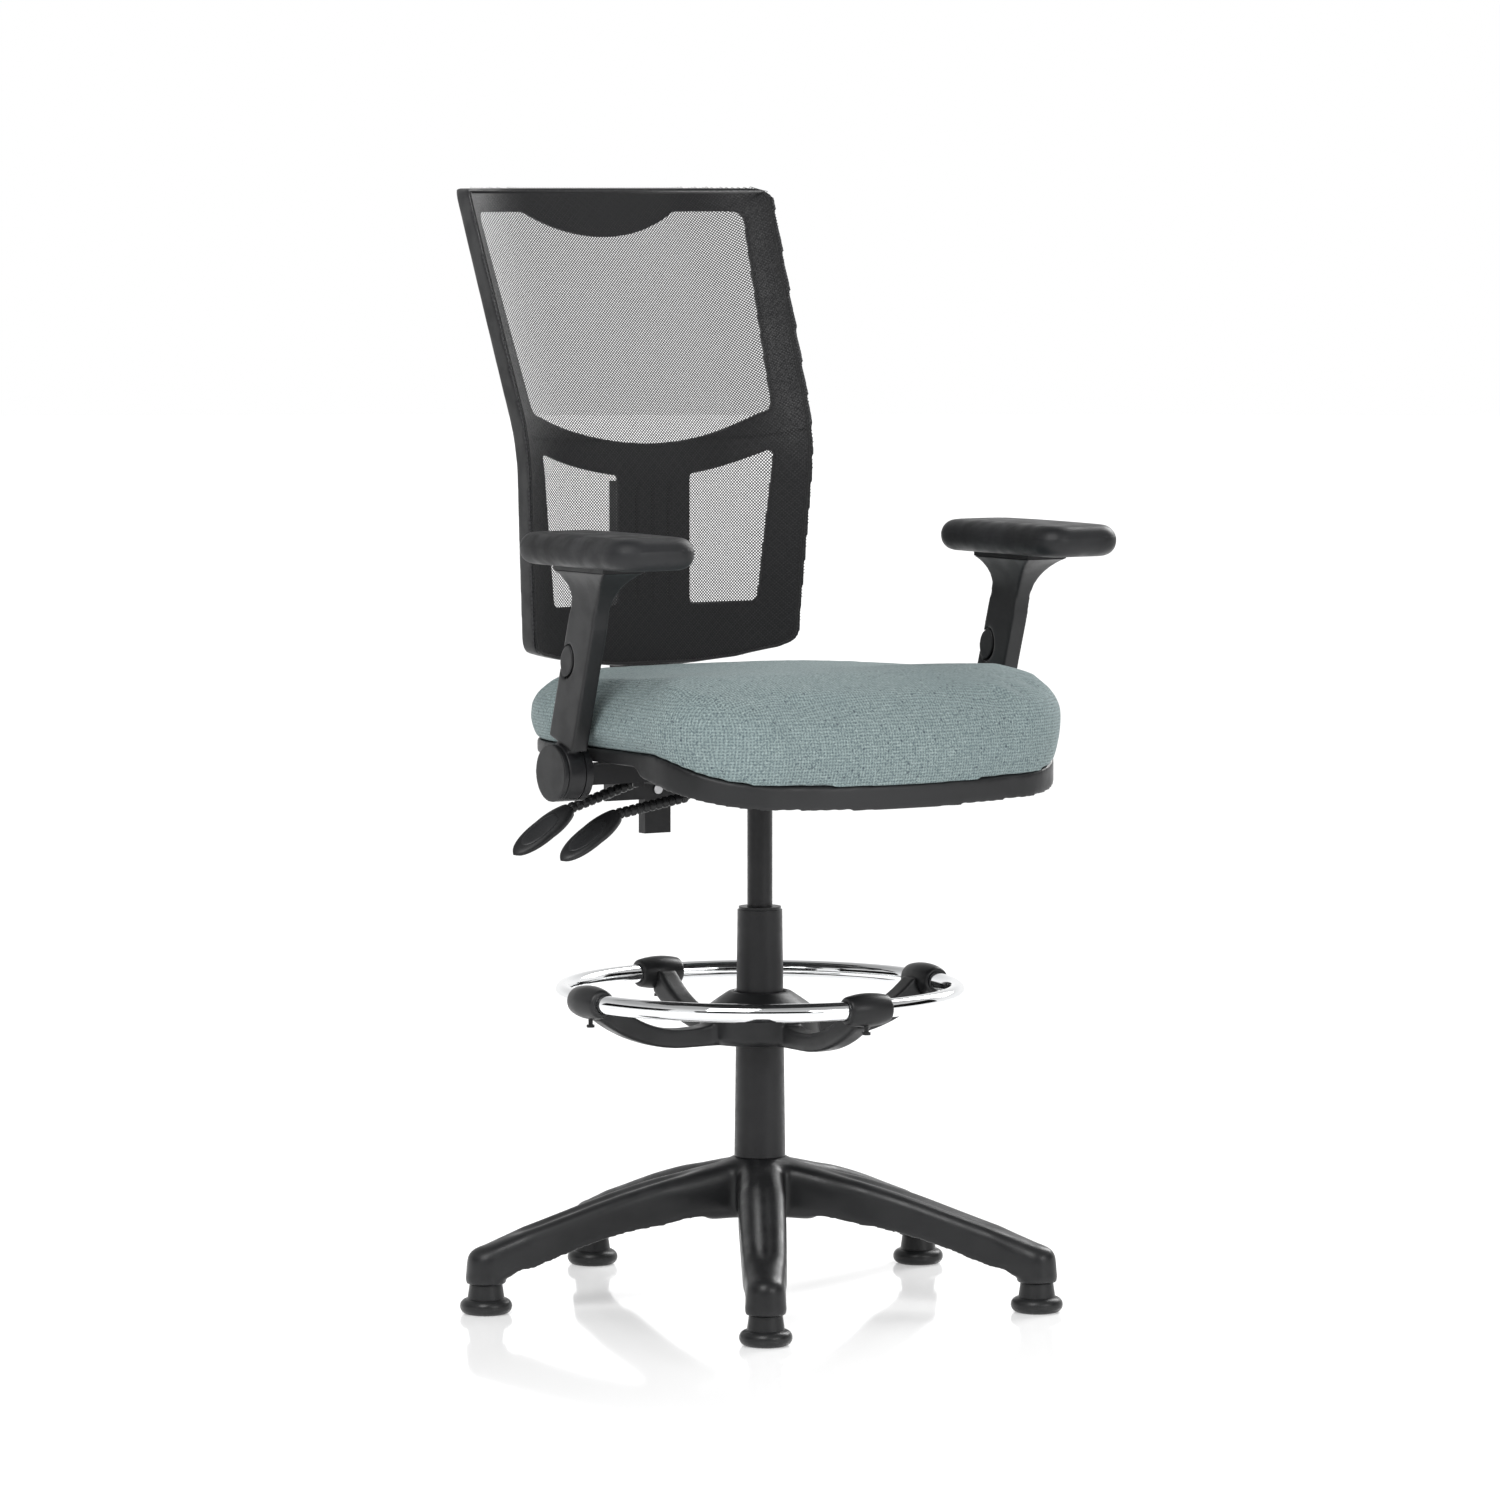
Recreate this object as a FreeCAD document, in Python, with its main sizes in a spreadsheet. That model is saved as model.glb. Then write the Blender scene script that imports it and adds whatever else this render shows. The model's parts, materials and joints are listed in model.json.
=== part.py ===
import FreeCAD, Part
import math
import os
from types import SimpleNamespace

import Sketcher

# A drafting chair: five-leg base, gas lift, foot ring, upholstered seat, mesh back, two levers and
# two adjustable arms. Millimetres, +Z up, and the chair faces -Y. Every shape is drawn about the
# column's axis, which stands column_y from the origin, the middle of the chair's footprint.

DIMENSIONS = {
    "column_y": -40.3,
    # Base: the legs' feet lie on a circle, and the first leg is turned from the front.
    "foot_circle_radius": 319.5,
    "first_leg_angle": -30.85,
    "leg_wall": 4.5,
    "hub_bottom_z": 97.0,
    "hub_top_z": 161.0,
    "hub_radius": 45.0,
    "boss_radius": 22.5,
    "boss_bottom_z": 33.0,
    "boss_top_z": 76.0,
    # Bell glides on 11 mm stems.
    "glide_radius": 28.75,
    "glide_rim_height": 17.0,
    "glide_neck_radius": 18.2,
    "glide_height": 32.6,
    "stem_radius": 5.5,
    "stem_bottom_z": 12.0,
    "stem_top_z": 60.0,
    # Column: a taper down to the base, and a spigot in the hub.
    "column_top_z": 437.0,
    "column_top_radius": 25.0,
    "column_foot_radius": 28.5,
    "spigot_top_radius": 25.2,
    "spigot_foot_radius": 24.3,
    "column_bore_radius": 20.0,
    "column_floor": 6.0,
    "bush_bottom_z": 330.0,
    "bush_flange_radius": 23.5,
    "bush_flange": 3.5,
    # Gas lift: the rod stands on the thrust bearing and the tube slides on it.
    "running_gap": 0.05,
    "tube_radius": 14.0,
    "tube_wall": 2.0,
    "tube_bottom_z": 235.0,
    "tube_top_z": 600.0,
    "tube_taper_z": 575.0,
    "tube_tip_radius": 13.2,
    "tube_end": 12.0,
    "rod_radius": 5.0,
    "rod_bottom_z": 93.0,
    "piston_z": 376.0,
    "piston_height": 14.0,
    "piston_radius": 11.9,
    "bearing_radius": 11.0,
    "bearing_height": 7.0,
    "pin_radius": 4.0,
    "pin_top_z": 607.0,
    "pin_bottom_z": 591.5,
    # Foot ring.
    "ring_radius": 219.0,
    "ring_tube_radius": 10.25,
    "ring_z": 346.0,
    "spider_bottom_z": 289.0,
    "spoke_width": 25.0,
    "ring_clamp_length": 54.0,
    "ring_clamp_radius": 18.5,
    "ring_clamp_end_radius": 15.5,
    "spider_bore_radius": 30.2,
    "collet_bore_radius": 28.2,
    # Seat mechanism.
    "housing_half_width": 75.0,
    "housing_front": 95.0,
    "housing_back": 135.0,
    "housing_bottom_z": 572.0,
    "housing_wall": 3.0,
    "plate_half_width": 97.0,
    "plate_bottom_z": 624.5,
    "plate_thickness": 3.0,
    "tilt_pin_y": 119.0,
    "tilt_pin_z": 594.0,
    "tilt_pin_radius": 5.0,
    # Seat: pan, board and cushion share one plan, bowed at the front and rounder at the back.
    "seat_half_width": 246.0,
    "seat_front": 303.0,
    "seat_back": 178.0,
    "seat_front_bow": 13.0,
    "seat_front_corner": 105.0,
    "seat_back_corner": 150.0,
    "pan_skin": 3.5,
    "board_inset": 24.0,
    "board_front": 150.0,
    "board_thickness": 12.0,
    "seat_deck_z": 631.0,
    "cushion_overhang": 5.0,
    "cushion_top_z": 708.0,
    # Back: a curved shell that leans back above a soft kink.
    "back_centre_y": 224.0,
    "back_bottom_z": 680.0,
    "back_kink_z": 909.0,
    "back_kink_radius": 160.0,
    "back_lean": 24.8,
    "back_leaning_length": 400.0,
    "back_flat_half_width": 95.0,
    "back_wrap_radius": 129.0,
    "back_skin": 9.0,
    "back_depth": 27.0,
    "back_rim": 9.0,
    "mesh_thickness": 1.5,
    # Back post and bracket.
    "post_half_width": 17.0,
    "post_thickness": 14.0,
    "post_front_y": 219.0,
    "post_bottom_z": 505.0,
    "post_upper_y": 240.5,
    "post_top_z": 800.0,
    "slide_gap": 0.3,
    "spine_half_width": 36.5,
    "spine_bottom_z": 690.0,
    "spine_top_z": 905.0,
    "bracket_front_y": 201.0,
    # Arms, each side of the seat.
    "arm_x": 273.0,
    "arm_hub_y": -34.0,
    "arm_hub_z": 604.0,
    "arm_hub_radius": 31.5,
    "arm_rake": 17.9,
    "arm_axle_radius": 8.0,
    "neck_thickness": 11.0,
    "neck_width": 30.0,
    "upright_thickness": 20.0,
    "upright_width": 52.0,
    "arm_pad_y": -126.0,
    "arm_pad_bottom_z": 831.5,
    "arm_pad_length": 236.0,
    "arm_pad_width": 105.0,
    "arm_pad_height": 36.0,
    "arm_plate_thickness": 5.0,
    # Levers.
    "lever_rod_radius": 4.0,
    "lever_pivot_radius": 3.0,
    "lever_pivot_length": 12.0,
    "height_lever_y": -5.0,
    "back_lever_y": 98.0,
    "paddle_length": 88.0,
    "paddle_width": 30.0,
    "paddle_thickness": 13.0,
}


class Dim:
    """A size: its value in millimetres or degrees, and the expression that ties it to the sheet."""

    def __init__(self, value, text):
        self.value = value
        self.text = text

    def __add__(self, other):
        return Dim(self.value + number(other), f"({self.text} + {text_of(other)})")

    def __radd__(self, other):
        return Dim(number(other) + self.value, f"({text_of(other)} + {self.text})")

    def __sub__(self, other):
        return Dim(self.value - number(other), f"({self.text} - {text_of(other)})")

    def __rsub__(self, other):
        return Dim(number(other) - self.value, f"({text_of(other)} - {self.text})")

    def __mul__(self, other):
        return Dim(self.value * number(other), f"({self.text} * {text_of(other)})")

    def __rmul__(self, other):
        return Dim(number(other) * self.value, f"({text_of(other)} * {self.text})")

    def __truediv__(self, other):
        return Dim(self.value / number(other), f"({self.text} / {text_of(other)})")

    def __neg__(self):
        return Dim(-self.value, f"(0 - {self.text})")


def number(size):
    """The plain value of a Dim or a number."""
    return size.value if isinstance(size, Dim) else float(size)


def text_of(size):
    """The expression of a Dim or a number."""
    return size.text if isinstance(size, Dim) else f"({size:.6g})"


def bind(thing, prop, size):
    """Tie a property to the sheet."""
    thing.setExpression(prop, text_of(size))


doc = FreeCAD.newDocument("drafting_chair")
sheet = doc.addObject("Spreadsheet::Sheet", "Params")
for row, (word, size) in enumerate(DIMENSIONS.items(), 1):
    sheet.set(f"A{row}", word.replace("_", " "))
    sheet.set(f"B{row}", f"{size}")
    sheet.setAlias(f"B{row}", word)
doc.recompute()
P = SimpleNamespace(**{word: Dim(size, f"Params.{word}") for word, size in DIMENSIONS.items()})
pieces = []


# ---------------------------------------------------------------- drawing and building


def polar(radius, angle):
    """x and y of a point at a radius, its angle counted from the front towards +X."""
    turn = math.radians(number(angle))
    text = f"({text_of(angle)} * 1deg)"
    x = Dim(number(radius) * math.sin(turn), f"({text_of(radius)} * sin({text}))")
    y = Dim(-number(radius) * math.cos(turn), f"(0 - {text_of(radius)} * cos({text}))")
    return x, y


def stand(piece, x=0, y=0, z=0, turn=None, label=None):
    """Put a finished sub-part in its place on the column's axis and list it."""
    if turn:
        piece.Placement.Rotation = FreeCAD.Rotation(FreeCAD.Vector(*turn[0]), number(turn[1]))
    bind(piece, "Placement.Base.x", x + 0 * P.column_y)
    bind(piece, "Placement.Base.y", y + P.column_y)
    bind(piece, "Placement.Base.z", z + 0 * P.column_y)
    if label:
        piece.Label = label
    pieces.append(piece)
    return piece


def new_body(name):
    """An empty body whose label names the sub-part."""
    body = doc.addObject("PartDesign::Body", name)
    body.Label = name
    return body


def sketch_on(body, role, offset=0.0, name="outline"):
    """A sketch on one of the body's own planes, moved along that plane's normal."""
    plane = next(item for item in body.Origin.OriginFeatures if item.Role == role)
    sketch = body.newObject("Sketcher::SketchObject", f"{body.Name}_{name}")
    sketch.AttachmentSupport = [(plane, "")]
    sketch.MapMode = "FlatFace"
    bind(sketch, "AttachmentOffset.Base.z", offset + 0 * P.column_y)
    return sketch


def pin_point(sketch, item, end, point):
    """Fix a sketch point at two sizes, both tied to the sheet."""
    for kind, size in zip(("DistanceX", "DistanceY"), point):
        index = sketch.addConstraint(Sketcher.Constraint(kind, -1, 1, item, end, number(size)))
        sketch.setExpression(f"Constraints[{index}]", text_of(size))


def arc_between(start, middle, stop):
    """A counter-clockwise arc through three points, and whether it runs from start to stop."""
    (ax, ay), (bx, by), (cx, cy) = [tuple(map(number, p)) for p in (start, middle, stop)]
    twice = 2 * (ax * (by - cy) + bx * (cy - ay) + cx * (ay - by))
    a2, b2, c2 = ax * ax + ay * ay, bx * bx + by * by, cx * cx + cy * cy
    ux = (a2 * (by - cy) + b2 * (cy - ay) + c2 * (ay - by)) / twice
    uy = (a2 * (cx - bx) + b2 * (ax - cx) + c2 * (bx - ax)) / twice
    circle = Part.Circle(FreeCAD.Vector(ux, uy, 0), FreeCAD.Vector(0, 0, 1), math.dist((ux, uy), (ax, ay)))
    first, last = math.atan2(ay - uy, ax - ux), math.atan2(cy - uy, cx - ux)
    forward = twice > 0
    if not forward:
        first, last = last, first
    return Part.ArcOfCircle(circle, first, last), forward


def draw(sketch, points, closed=True):
    """Draw an outline. A point is (x, y); ("arc", middle, point) reaches the point by an arc."""
    corners = [p[2] if p[0] == "arc" else p for p in points]
    count = len(points) if closed else len(points) - 1
    ends = []
    base = sketch.GeometryCount
    for i in range(count):
        start, stop = corners[i], corners[(i + 1) % len(points)]
        step = points[(i + 1) % len(points)]
        if step[0] == "arc":
            arc, forward = arc_between(start, step[1], stop)
            index = sketch.addGeometry(arc)
            ends.append((index, 1, 2) if forward else (index, 2, 1))
        else:
            a, b = [FreeCAD.Vector(number(p[0]), number(p[1]), 0) for p in (start, stop)]
            index = sketch.addGeometry(Part.LineSegment(a, b))
            ends.append((index, 1, 2))
    for i in range(count if closed else count - 1):
        here, after = ends[i], ends[(i + 1) % count]
        sketch.addConstraint(Sketcher.Constraint("Coincident", here[0], here[2], after[0], after[1]))
    for i in range(count):
        pin_point(sketch, ends[i][0], ends[i][1], corners[i])
    if not closed:
        pin_point(sketch, ends[-1][0], ends[-1][2], corners[-1])
    for i in range(count):
        step = points[(i + 1) % len(points)]
        if step[0] == "arc":
            middle = FreeCAD.Vector(number(step[1][0]), number(step[1][1]), 0)
            index = sketch.addGeometry(Part.Point(middle), True)
            pin_point(sketch, index, 1, step[1])
            sketch.addConstraint(Sketcher.Constraint("PointOnObject", index, 1, ends[i][0]))
    return base


def draw_circle(sketch, x, y, radius):
    """A circle in a sketch, its centre and radius tied to the sheet."""
    centre = FreeCAD.Vector(number(x), number(y), 0)
    index = sketch.addGeometry(Part.Circle(centre, FreeCAD.Vector(0, 0, 1), number(radius)))
    pin_point(sketch, index, 3, (x, y))
    limit = sketch.addConstraint(Sketcher.Constraint("Radius", index, number(radius)))
    sketch.setExpression(f"Constraints[{limit}]", text_of(radius))


def pad(body, sketch, length, both_ways=False, upside_down=False, kind="Pad"):
    """Extrude a sketch, one way or evenly both ways; kind is Pad or Pocket."""
    feature = body.newObject(f"PartDesign::{kind}", f"{sketch.Name}_{kind.lower()}")
    feature.Profile = sketch
    bind(feature, "Length", length)
    feature.Midplane = both_ways
    feature.Reversed = upside_down
    doc.recompute()
    return feature


def turned(name, points, role="XZ_Plane", axis="V_Axis"):
    """A body of revolution; on the XZ plane its outline is radius by height."""
    body = new_body(name)
    sketch = sketch_on(body, role)
    draw(sketch, points)
    feature = body.newObject("PartDesign::Revolution", f"{name}_turned")
    feature.Profile = sketch
    feature.ReferenceAxis = (sketch, [axis])
    feature.Angle = 360
    doc.recompute()
    return body


def washer(name, inner, outer, bottom, top):
    """A plain ring or, with no bore, a disc."""
    return turned(name, [(inner, bottom), (outer, bottom), (outer, top), (inner, top)])


def slab(name, role, points, length, both_ways=False, offset=0.0, upside_down=False):
    """A body that is one outline extruded."""
    body = new_body(name)
    sketch = sketch_on(body, role, offset)
    draw(sketch, points)
    pad(body, sketch, length, both_ways, upside_down)
    return body


def rectangle(x0, y0, x1, y1):
    """The corners of a rectangle."""
    return [(x0, y0), (x1, y0), (x1, y1), (x0, y1)]


def block(name, x0, x1, y0, y1, z0, z1):
    """A plain block between limits on each axis."""
    return slab(name, "XY_Plane", rectangle(x0, y0, x1, y1), z1 - z0, offset=z0)


def soften(body, radius, wanted, kind="Fillet"):
    """Fillet or chamfer the edges of the body's tip that wanted picks."""
    doc.recompute()
    base = body.Tip
    names = [f"Edge{i}" for i, edge in enumerate(base.Shape.Edges, 1) if wanted(edge)]
    feature = body.newObject(f"PartDesign::{kind}", f"{base.Name}_{kind.lower()}")
    feature.Base = (base, names)
    bind(feature, "Radius" if kind == "Fillet" else "Size", radius)
    doc.recompute()
    return feature


def runs_along(axis):
    """A test for straight edges parallel to an axis: 0, 1 or 2 for X, Y or Z."""

    def test(edge):
        a, b = edge.Vertexes[0].Point, edge.Vertexes[-1].Point
        return all(abs(a[k] - b[k]) < 1e-4 for k in range(3) if k != axis) and abs(a[axis] - b[axis]) > 1

    return test


def lies_at(axis, place):
    """A test for edges that lie in a plane square to an axis."""

    def test(edge):
        box = edge.BoundBox
        low = (box.XMin, box.YMin, box.ZMin)[axis]
        high = (box.XMax, box.YMax, box.ZMax)[axis]
        return abs(low - number(place)) < 1e-3 and abs(high - number(place)) < 1e-3

    return test


def joined(name, kind, *operands):
    """A Part boolean of whole objects: Part::Cut, Part::Common or Part::MultiFuse."""
    result = doc.addObject(kind, name)
    if kind == "Part::MultiFuse":
        result.Shapes = list(operands)
    elif kind == "Part::Compound":
        result.Links = list(operands)
    else:
        result.Base, result.Tool = operands
    doc.recompute()
    return result


def cylinder(name, radius, length, x=0, y=0, z=0, turn=None):
    """A Part cylinder that starts at a point and runs up, or along its turned axis."""
    rod = doc.addObject("Part::Cylinder", name)
    bind(rod, "Radius", radius)
    bind(rod, "Height", length)
    if turn:
        rod.Placement.Rotation = FreeCAD.Rotation(FreeCAD.Vector(*turn[0]), turn[1])
    for axis, size in (("x", x), ("y", y), ("z", z)):
        bind(rod, f"Placement.Base.{axis}", size + 0 * P.column_y)
    return rod


ALONG_X = ((0, 1, 0), 90)
BACK_TO_FRONT = ((1, 0, 0), 90)
FRONT_TO_BACK = ((1, 0, 0), -90)


def soft_rectangle(x0, y0, x1, y1, low_radius, high_radius):
    """A rectangle with rounded corners: one radius for the two low ones, one for the two high."""
    low = low_radius * (1 - math.sqrt(0.5))
    high = high_radius * (1 - math.sqrt(0.5))
    return [
        ("arc", (x0 + low, y0 + low), (x0 + low_radius, y0)),
        (x1 - low_radius, y0),
        ("arc", (x1 - low, y0 + low), (x1, y0 + low_radius)),
        (x1, y1 - high_radius),
        ("arc", (x1 - high, y1 - high), (x1 - high_radius, y1)),
        (x0 + high_radius, y1),
        ("arc", (x0 + high, y1 - high), (x0, y1 - high_radius)),
        (x0, y0 + low_radius),
    ]


# ---------------------------------------------------------------- base

# One leg's sections: distance from the column, half width, underside and top.
LEG_SECTIONS = [
    (22.0, 25.0, 95.0, 159.0),
    (72.0, 25.5, 92.5, 150.0),
    (130.0, 26.0, 88.5, 136.5),
    (190.0, 25.5, 76.5, 119.5),
    (245.0, 24.5, 58.5, 101.5),
    (290.0, 23.0, 43.0, 87.0),
    (319.5, 21.0, 38.0, 75.5),
]
LEG_DOME = 14.0


def leg_loft(body, sections, kind, inset, name):
    """A leg, or the hollow under it, lofted through its sections."""
    sketches = []
    for i, (distance, half, low, high) in enumerate(sections):
        sketch = sketch_on(body, "YZ_Plane", distance, f"{name}{i}")
        half_inside = half - inset
        bottom = low - 25.0 if number(inset) else low
        draw(sketch, soft_rectangle(-half_inside, bottom, half_inside, high - inset, 6.0, 13.0))
        sketches.append(sketch)
    loft = body.newObject(f"PartDesign::{kind}Loft", f"{body.Name}_{name}")
    loft.Profile = sketches[0]
    loft.Sections = sketches[1:]
    doc.recompute()
    return loft


def leg(name, angle):
    """One leg: arched, hollow below, with a boss at its end bored for the glide's stem."""
    body = new_body(name)
    leg_loft(body, LEG_SECTIONS, "Additive", 0.0, "leg")
    leg_loft(body, LEG_SECTIONS[1:-1], "Subtractive", P.leg_wall, "hollow")
    boss = body.newObject("PartDesign::AdditiveCylinder", f"{name}_boss")
    bind(boss, "Radius", P.boss_radius)
    bind(boss, "Height", P.boss_top_z - P.boss_bottom_z - LEG_DOME)
    dome = body.newObject("PartDesign::AdditiveEllipsoid", f"{name}_dome")
    bind(dome, "Radius1", LEG_DOME + 0 * P.column_y)
    bind(dome, "Radius2", P.boss_radius)
    bind(dome, "Radius3", P.boss_radius)
    socket = body.newObject("PartDesign::SubtractiveCylinder", f"{name}_socket")
    bind(socket, "Radius", P.stem_radius)
    bind(socket, "Height", P.stem_top_z - P.boss_bottom_z)
    for item, z in ((boss, P.boss_bottom_z), (dome, P.boss_top_z - LEG_DOME), (socket, P.boss_bottom_z)):
        bind(item, "Placement.Base.x", P.foot_circle_radius)
        bind(item, "Placement.Base.z", z)
    body.Placement.Rotation = FreeCAD.Rotation(FreeCAD.Vector(0, 0, 1), number(angle))
    bind(body, "Placement.Rotation.Angle", angle)
    doc.recompute()
    return body


def star_base():
    """The moulded base: a hub with a tapered bore and five legs."""
    hub = turned("base_hub", [
        (0, P.hub_bottom_z),
        (P.hub_radius - 4, P.hub_bottom_z),
        (P.hub_radius, P.hub_bottom_z + 5),
        (P.hub_radius, P.hub_top_z - 18),
        (P.hub_radius - 7, P.hub_top_z - 4),
        (P.hub_radius - 12, P.hub_top_z),
        (0, P.hub_top_z),
    ])
    legs = [leg(f"base_leg_{i + 1}", P.first_leg_angle + 270 + 72 * i) for i in range(5)]
    whole = joined("base_solid", "Part::MultiFuse", hub, *legs)
    bore = doc.addObject("Part::Cone", "base_bore")
    bind(bore, "Radius1", P.spigot_foot_radius)
    bind(bore, "Radius2", P.spigot_top_radius)
    bind(bore, "Height", P.hub_top_z - P.hub_bottom_z)
    bind(bore, "Placement.Base.z", P.hub_bottom_z)
    return joined("star_base", "Part::Cut", whole, bore)


def glide(name):
    """A bell glide: a rounded foot and a tapered neck, bored for its stem."""
    rim = P.glide_rim_height
    return turned(name, [
        (0, 0),
        (P.glide_radius - 8.3, 0),
        ("arc", (P.glide_radius, rim / 2), (P.glide_radius - 8.3, rim)),
        (P.glide_neck_radius, P.glide_height),
        (P.stem_radius, P.glide_height),
        (P.stem_radius, P.stem_bottom_z),
        (0, P.stem_bottom_z),
    ])


def build_base():
    """Star base, glides and their stems, and the column with its bush and bearing."""
    stand(star_base())
    stems = []
    for i in range(5):
        x, y = polar(P.foot_circle_radius, P.first_leg_angle + 72 * i)
        stand(glide(f"glide_{i + 1}"), x, y)
        height = P.stem_top_z - P.stem_bottom_z
        stems.append(cylinder(f"stem_{i + 1}", P.stem_radius, height, x, y, P.stem_bottom_z))
    stand(joined("glide_stems", "Part::Compound", *stems))
    shoulder = P.hub_top_z + 0.3
    column_floor_z = P.hub_bottom_z + 1
    stand(turned("outer_column", [
        (P.rod_radius + P.running_gap, column_floor_z),
        (P.spigot_foot_radius, column_floor_z),
        (P.spigot_top_radius, P.hub_top_z),
        (P.spigot_top_radius, shoulder),
        (P.column_foot_radius, shoulder),
        (P.column_top_radius, P.column_top_z),
        (P.column_bore_radius, P.column_top_z),
        (P.column_bore_radius, column_floor_z + P.column_floor),
        (P.rod_radius + P.running_gap, column_floor_z + P.column_floor),
    ]))
    bush_bore = P.tube_radius + P.running_gap
    stand(turned("guide_bush", [
        (bush_bore, P.bush_bottom_z),
        (P.column_bore_radius, P.bush_bottom_z),
        (P.column_bore_radius, P.column_top_z),
        (P.bush_flange_radius, P.column_top_z),
        (P.bush_flange_radius, P.column_top_z + P.bush_flange),
        (bush_bore, P.column_top_z + P.bush_flange),
    ]))
    bearing_z = column_floor_z + P.column_floor
    inner = P.rod_radius + P.running_gap
    stand(washer("thrust_bearing", inner, P.bearing_radius, bearing_z, bearing_z + P.bearing_height))


# ---------------------------------------------------------------- gas lift


def build_gas_lift():
    """The rod, piston and clip that turn on the bearing, and the tube that slides on them."""
    collar_z = P.hub_bottom_z + 1 + P.column_floor + P.bearing_height + 0.3
    top = P.piston_z + P.piston_height
    stand(turned("piston_rod", [
        (0, P.rod_bottom_z), (P.rod_radius, P.rod_bottom_z),
        (P.rod_radius, collar_z), (P.rod_radius + 3.5, collar_z),
        (P.rod_radius + 3.5, collar_z + 4), (P.rod_radius, collar_z + 4),
        (P.rod_radius, top + 2), (0, top + 2),
    ]))
    stand(washer("piston_head", P.rod_radius, P.piston_radius, P.piston_z, top))
    stand(washer("rod_clip", P.rod_radius, P.rod_radius + 3, P.rod_bottom_z + 1.5, P.rod_bottom_z + 3))
    inside = P.tube_radius - P.tube_wall
    pin_gap = P.pin_radius + P.running_gap
    stand(turned("gas_tube", [
        (P.rod_radius + P.running_gap, P.tube_bottom_z),
        (P.tube_radius, P.tube_bottom_z),
        (P.tube_radius, P.tube_taper_z),
        (P.tube_tip_radius, P.tube_top_z),
        (pin_gap, P.tube_top_z),
        (pin_gap, P.tube_top_z - 14),
        (0, P.tube_top_z - 14),
        (0, P.tube_top_z - 26),
        (inside, P.tube_top_z - 26),
        (inside, P.tube_bottom_z + P.tube_end),
        (P.rod_radius + P.running_gap, P.tube_bottom_z + P.tube_end),
    ]))
    stand(turned("taper_socket", [
        (P.tube_radius, P.tube_taper_z), (P.tube_radius + 8, P.tube_taper_z),
        (P.tube_radius + 8, P.tube_top_z - 12), (P.tube_radius + 6, P.tube_top_z),
        (P.tube_tip_radius, P.tube_top_z),
    ]))
    stand(washer("release_pin", 0, P.pin_radius, P.pin_bottom_z, P.pin_top_z))


# ---------------------------------------------------------------- foot ring


def ring_clamp(name):
    """A barrel about the ring's tube, drawn along X and bored by the ring itself."""
    half = P.ring_clamp_length / 2
    barrel = turned(name, [
        (-half, 0), (half, 0), (half, P.ring_clamp_end_radius - 2),
        (half - 2, P.ring_clamp_end_radius),
        ("arc", (0, P.ring_clamp_radius), (-half + 2, P.ring_clamp_end_radius)),
        (-half, P.ring_clamp_end_radius - 2),
    ], "XZ_Plane", "H_Axis")
    return barrel


def ring_torus(name):
    """The ring's own solid."""
    ring = doc.addObject("Part::Torus", name)
    bind(ring, "Radius1", P.ring_radius)
    bind(ring, "Radius2", P.ring_tube_radius)
    bind(ring, "Placement.Base.z", P.ring_z)
    return ring


def spider_body():
    """The moulded spider: a low cone on the column and four deep spokes that curve up to the ring."""
    body = turned("spider_moulding", [
        (P.spider_bore_radius, P.spider_bottom_z),
        (60, P.spider_bottom_z),
        (67, P.spider_bottom_z + 6),
        (67, P.ring_z - 23),
        ("arc", (48, P.ring_z - 9), (P.spider_bore_radius + 3, P.ring_z + 1)),
        (P.spider_bore_radius, P.ring_z + 1),
    ])
    sketch = sketch_on(body, "XZ_Plane", 0.0, "spoke")
    low = P.spider_bottom_z
    end = P.ring_radius - 6
    draw(sketch, [
        (40, low),
        (95, low),
        ("arc", (165, low + 11), (end, P.ring_z - 20)),
        (end, P.ring_z + 8),
        (end - 16, P.ring_z + 3),
        ("arc", (126, P.ring_z - 34), (60, P.ring_z - 30)),
        (40, P.ring_z - 22),
    ])
    spoke = pad(body, sketch, P.spoke_width, both_ways=True)
    edges = soften(body, 0 * P.column_y + 3.0, spoke_edge)
    pattern = body.newObject("PartDesign::PolarPattern", "four_spokes")
    pattern.Originals = [spoke, edges]
    axis = next(item for item in body.Origin.OriginFeatures if item.Role == "Z_Axis")
    pattern.Axis = (axis, [""])
    pattern.Angle = 360
    pattern.Occurrences = 4
    body.Tip = pattern
    doc.recompute()
    return body


def spoke_edge(edge):
    """The long edges along a spoke, outside the hub."""
    box = edge.BoundBox
    return box.XMin > 66 and box.XLength > 20 and abs(abs(box.Center.y) - P.spoke_width.value / 2) < 0.5


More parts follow.
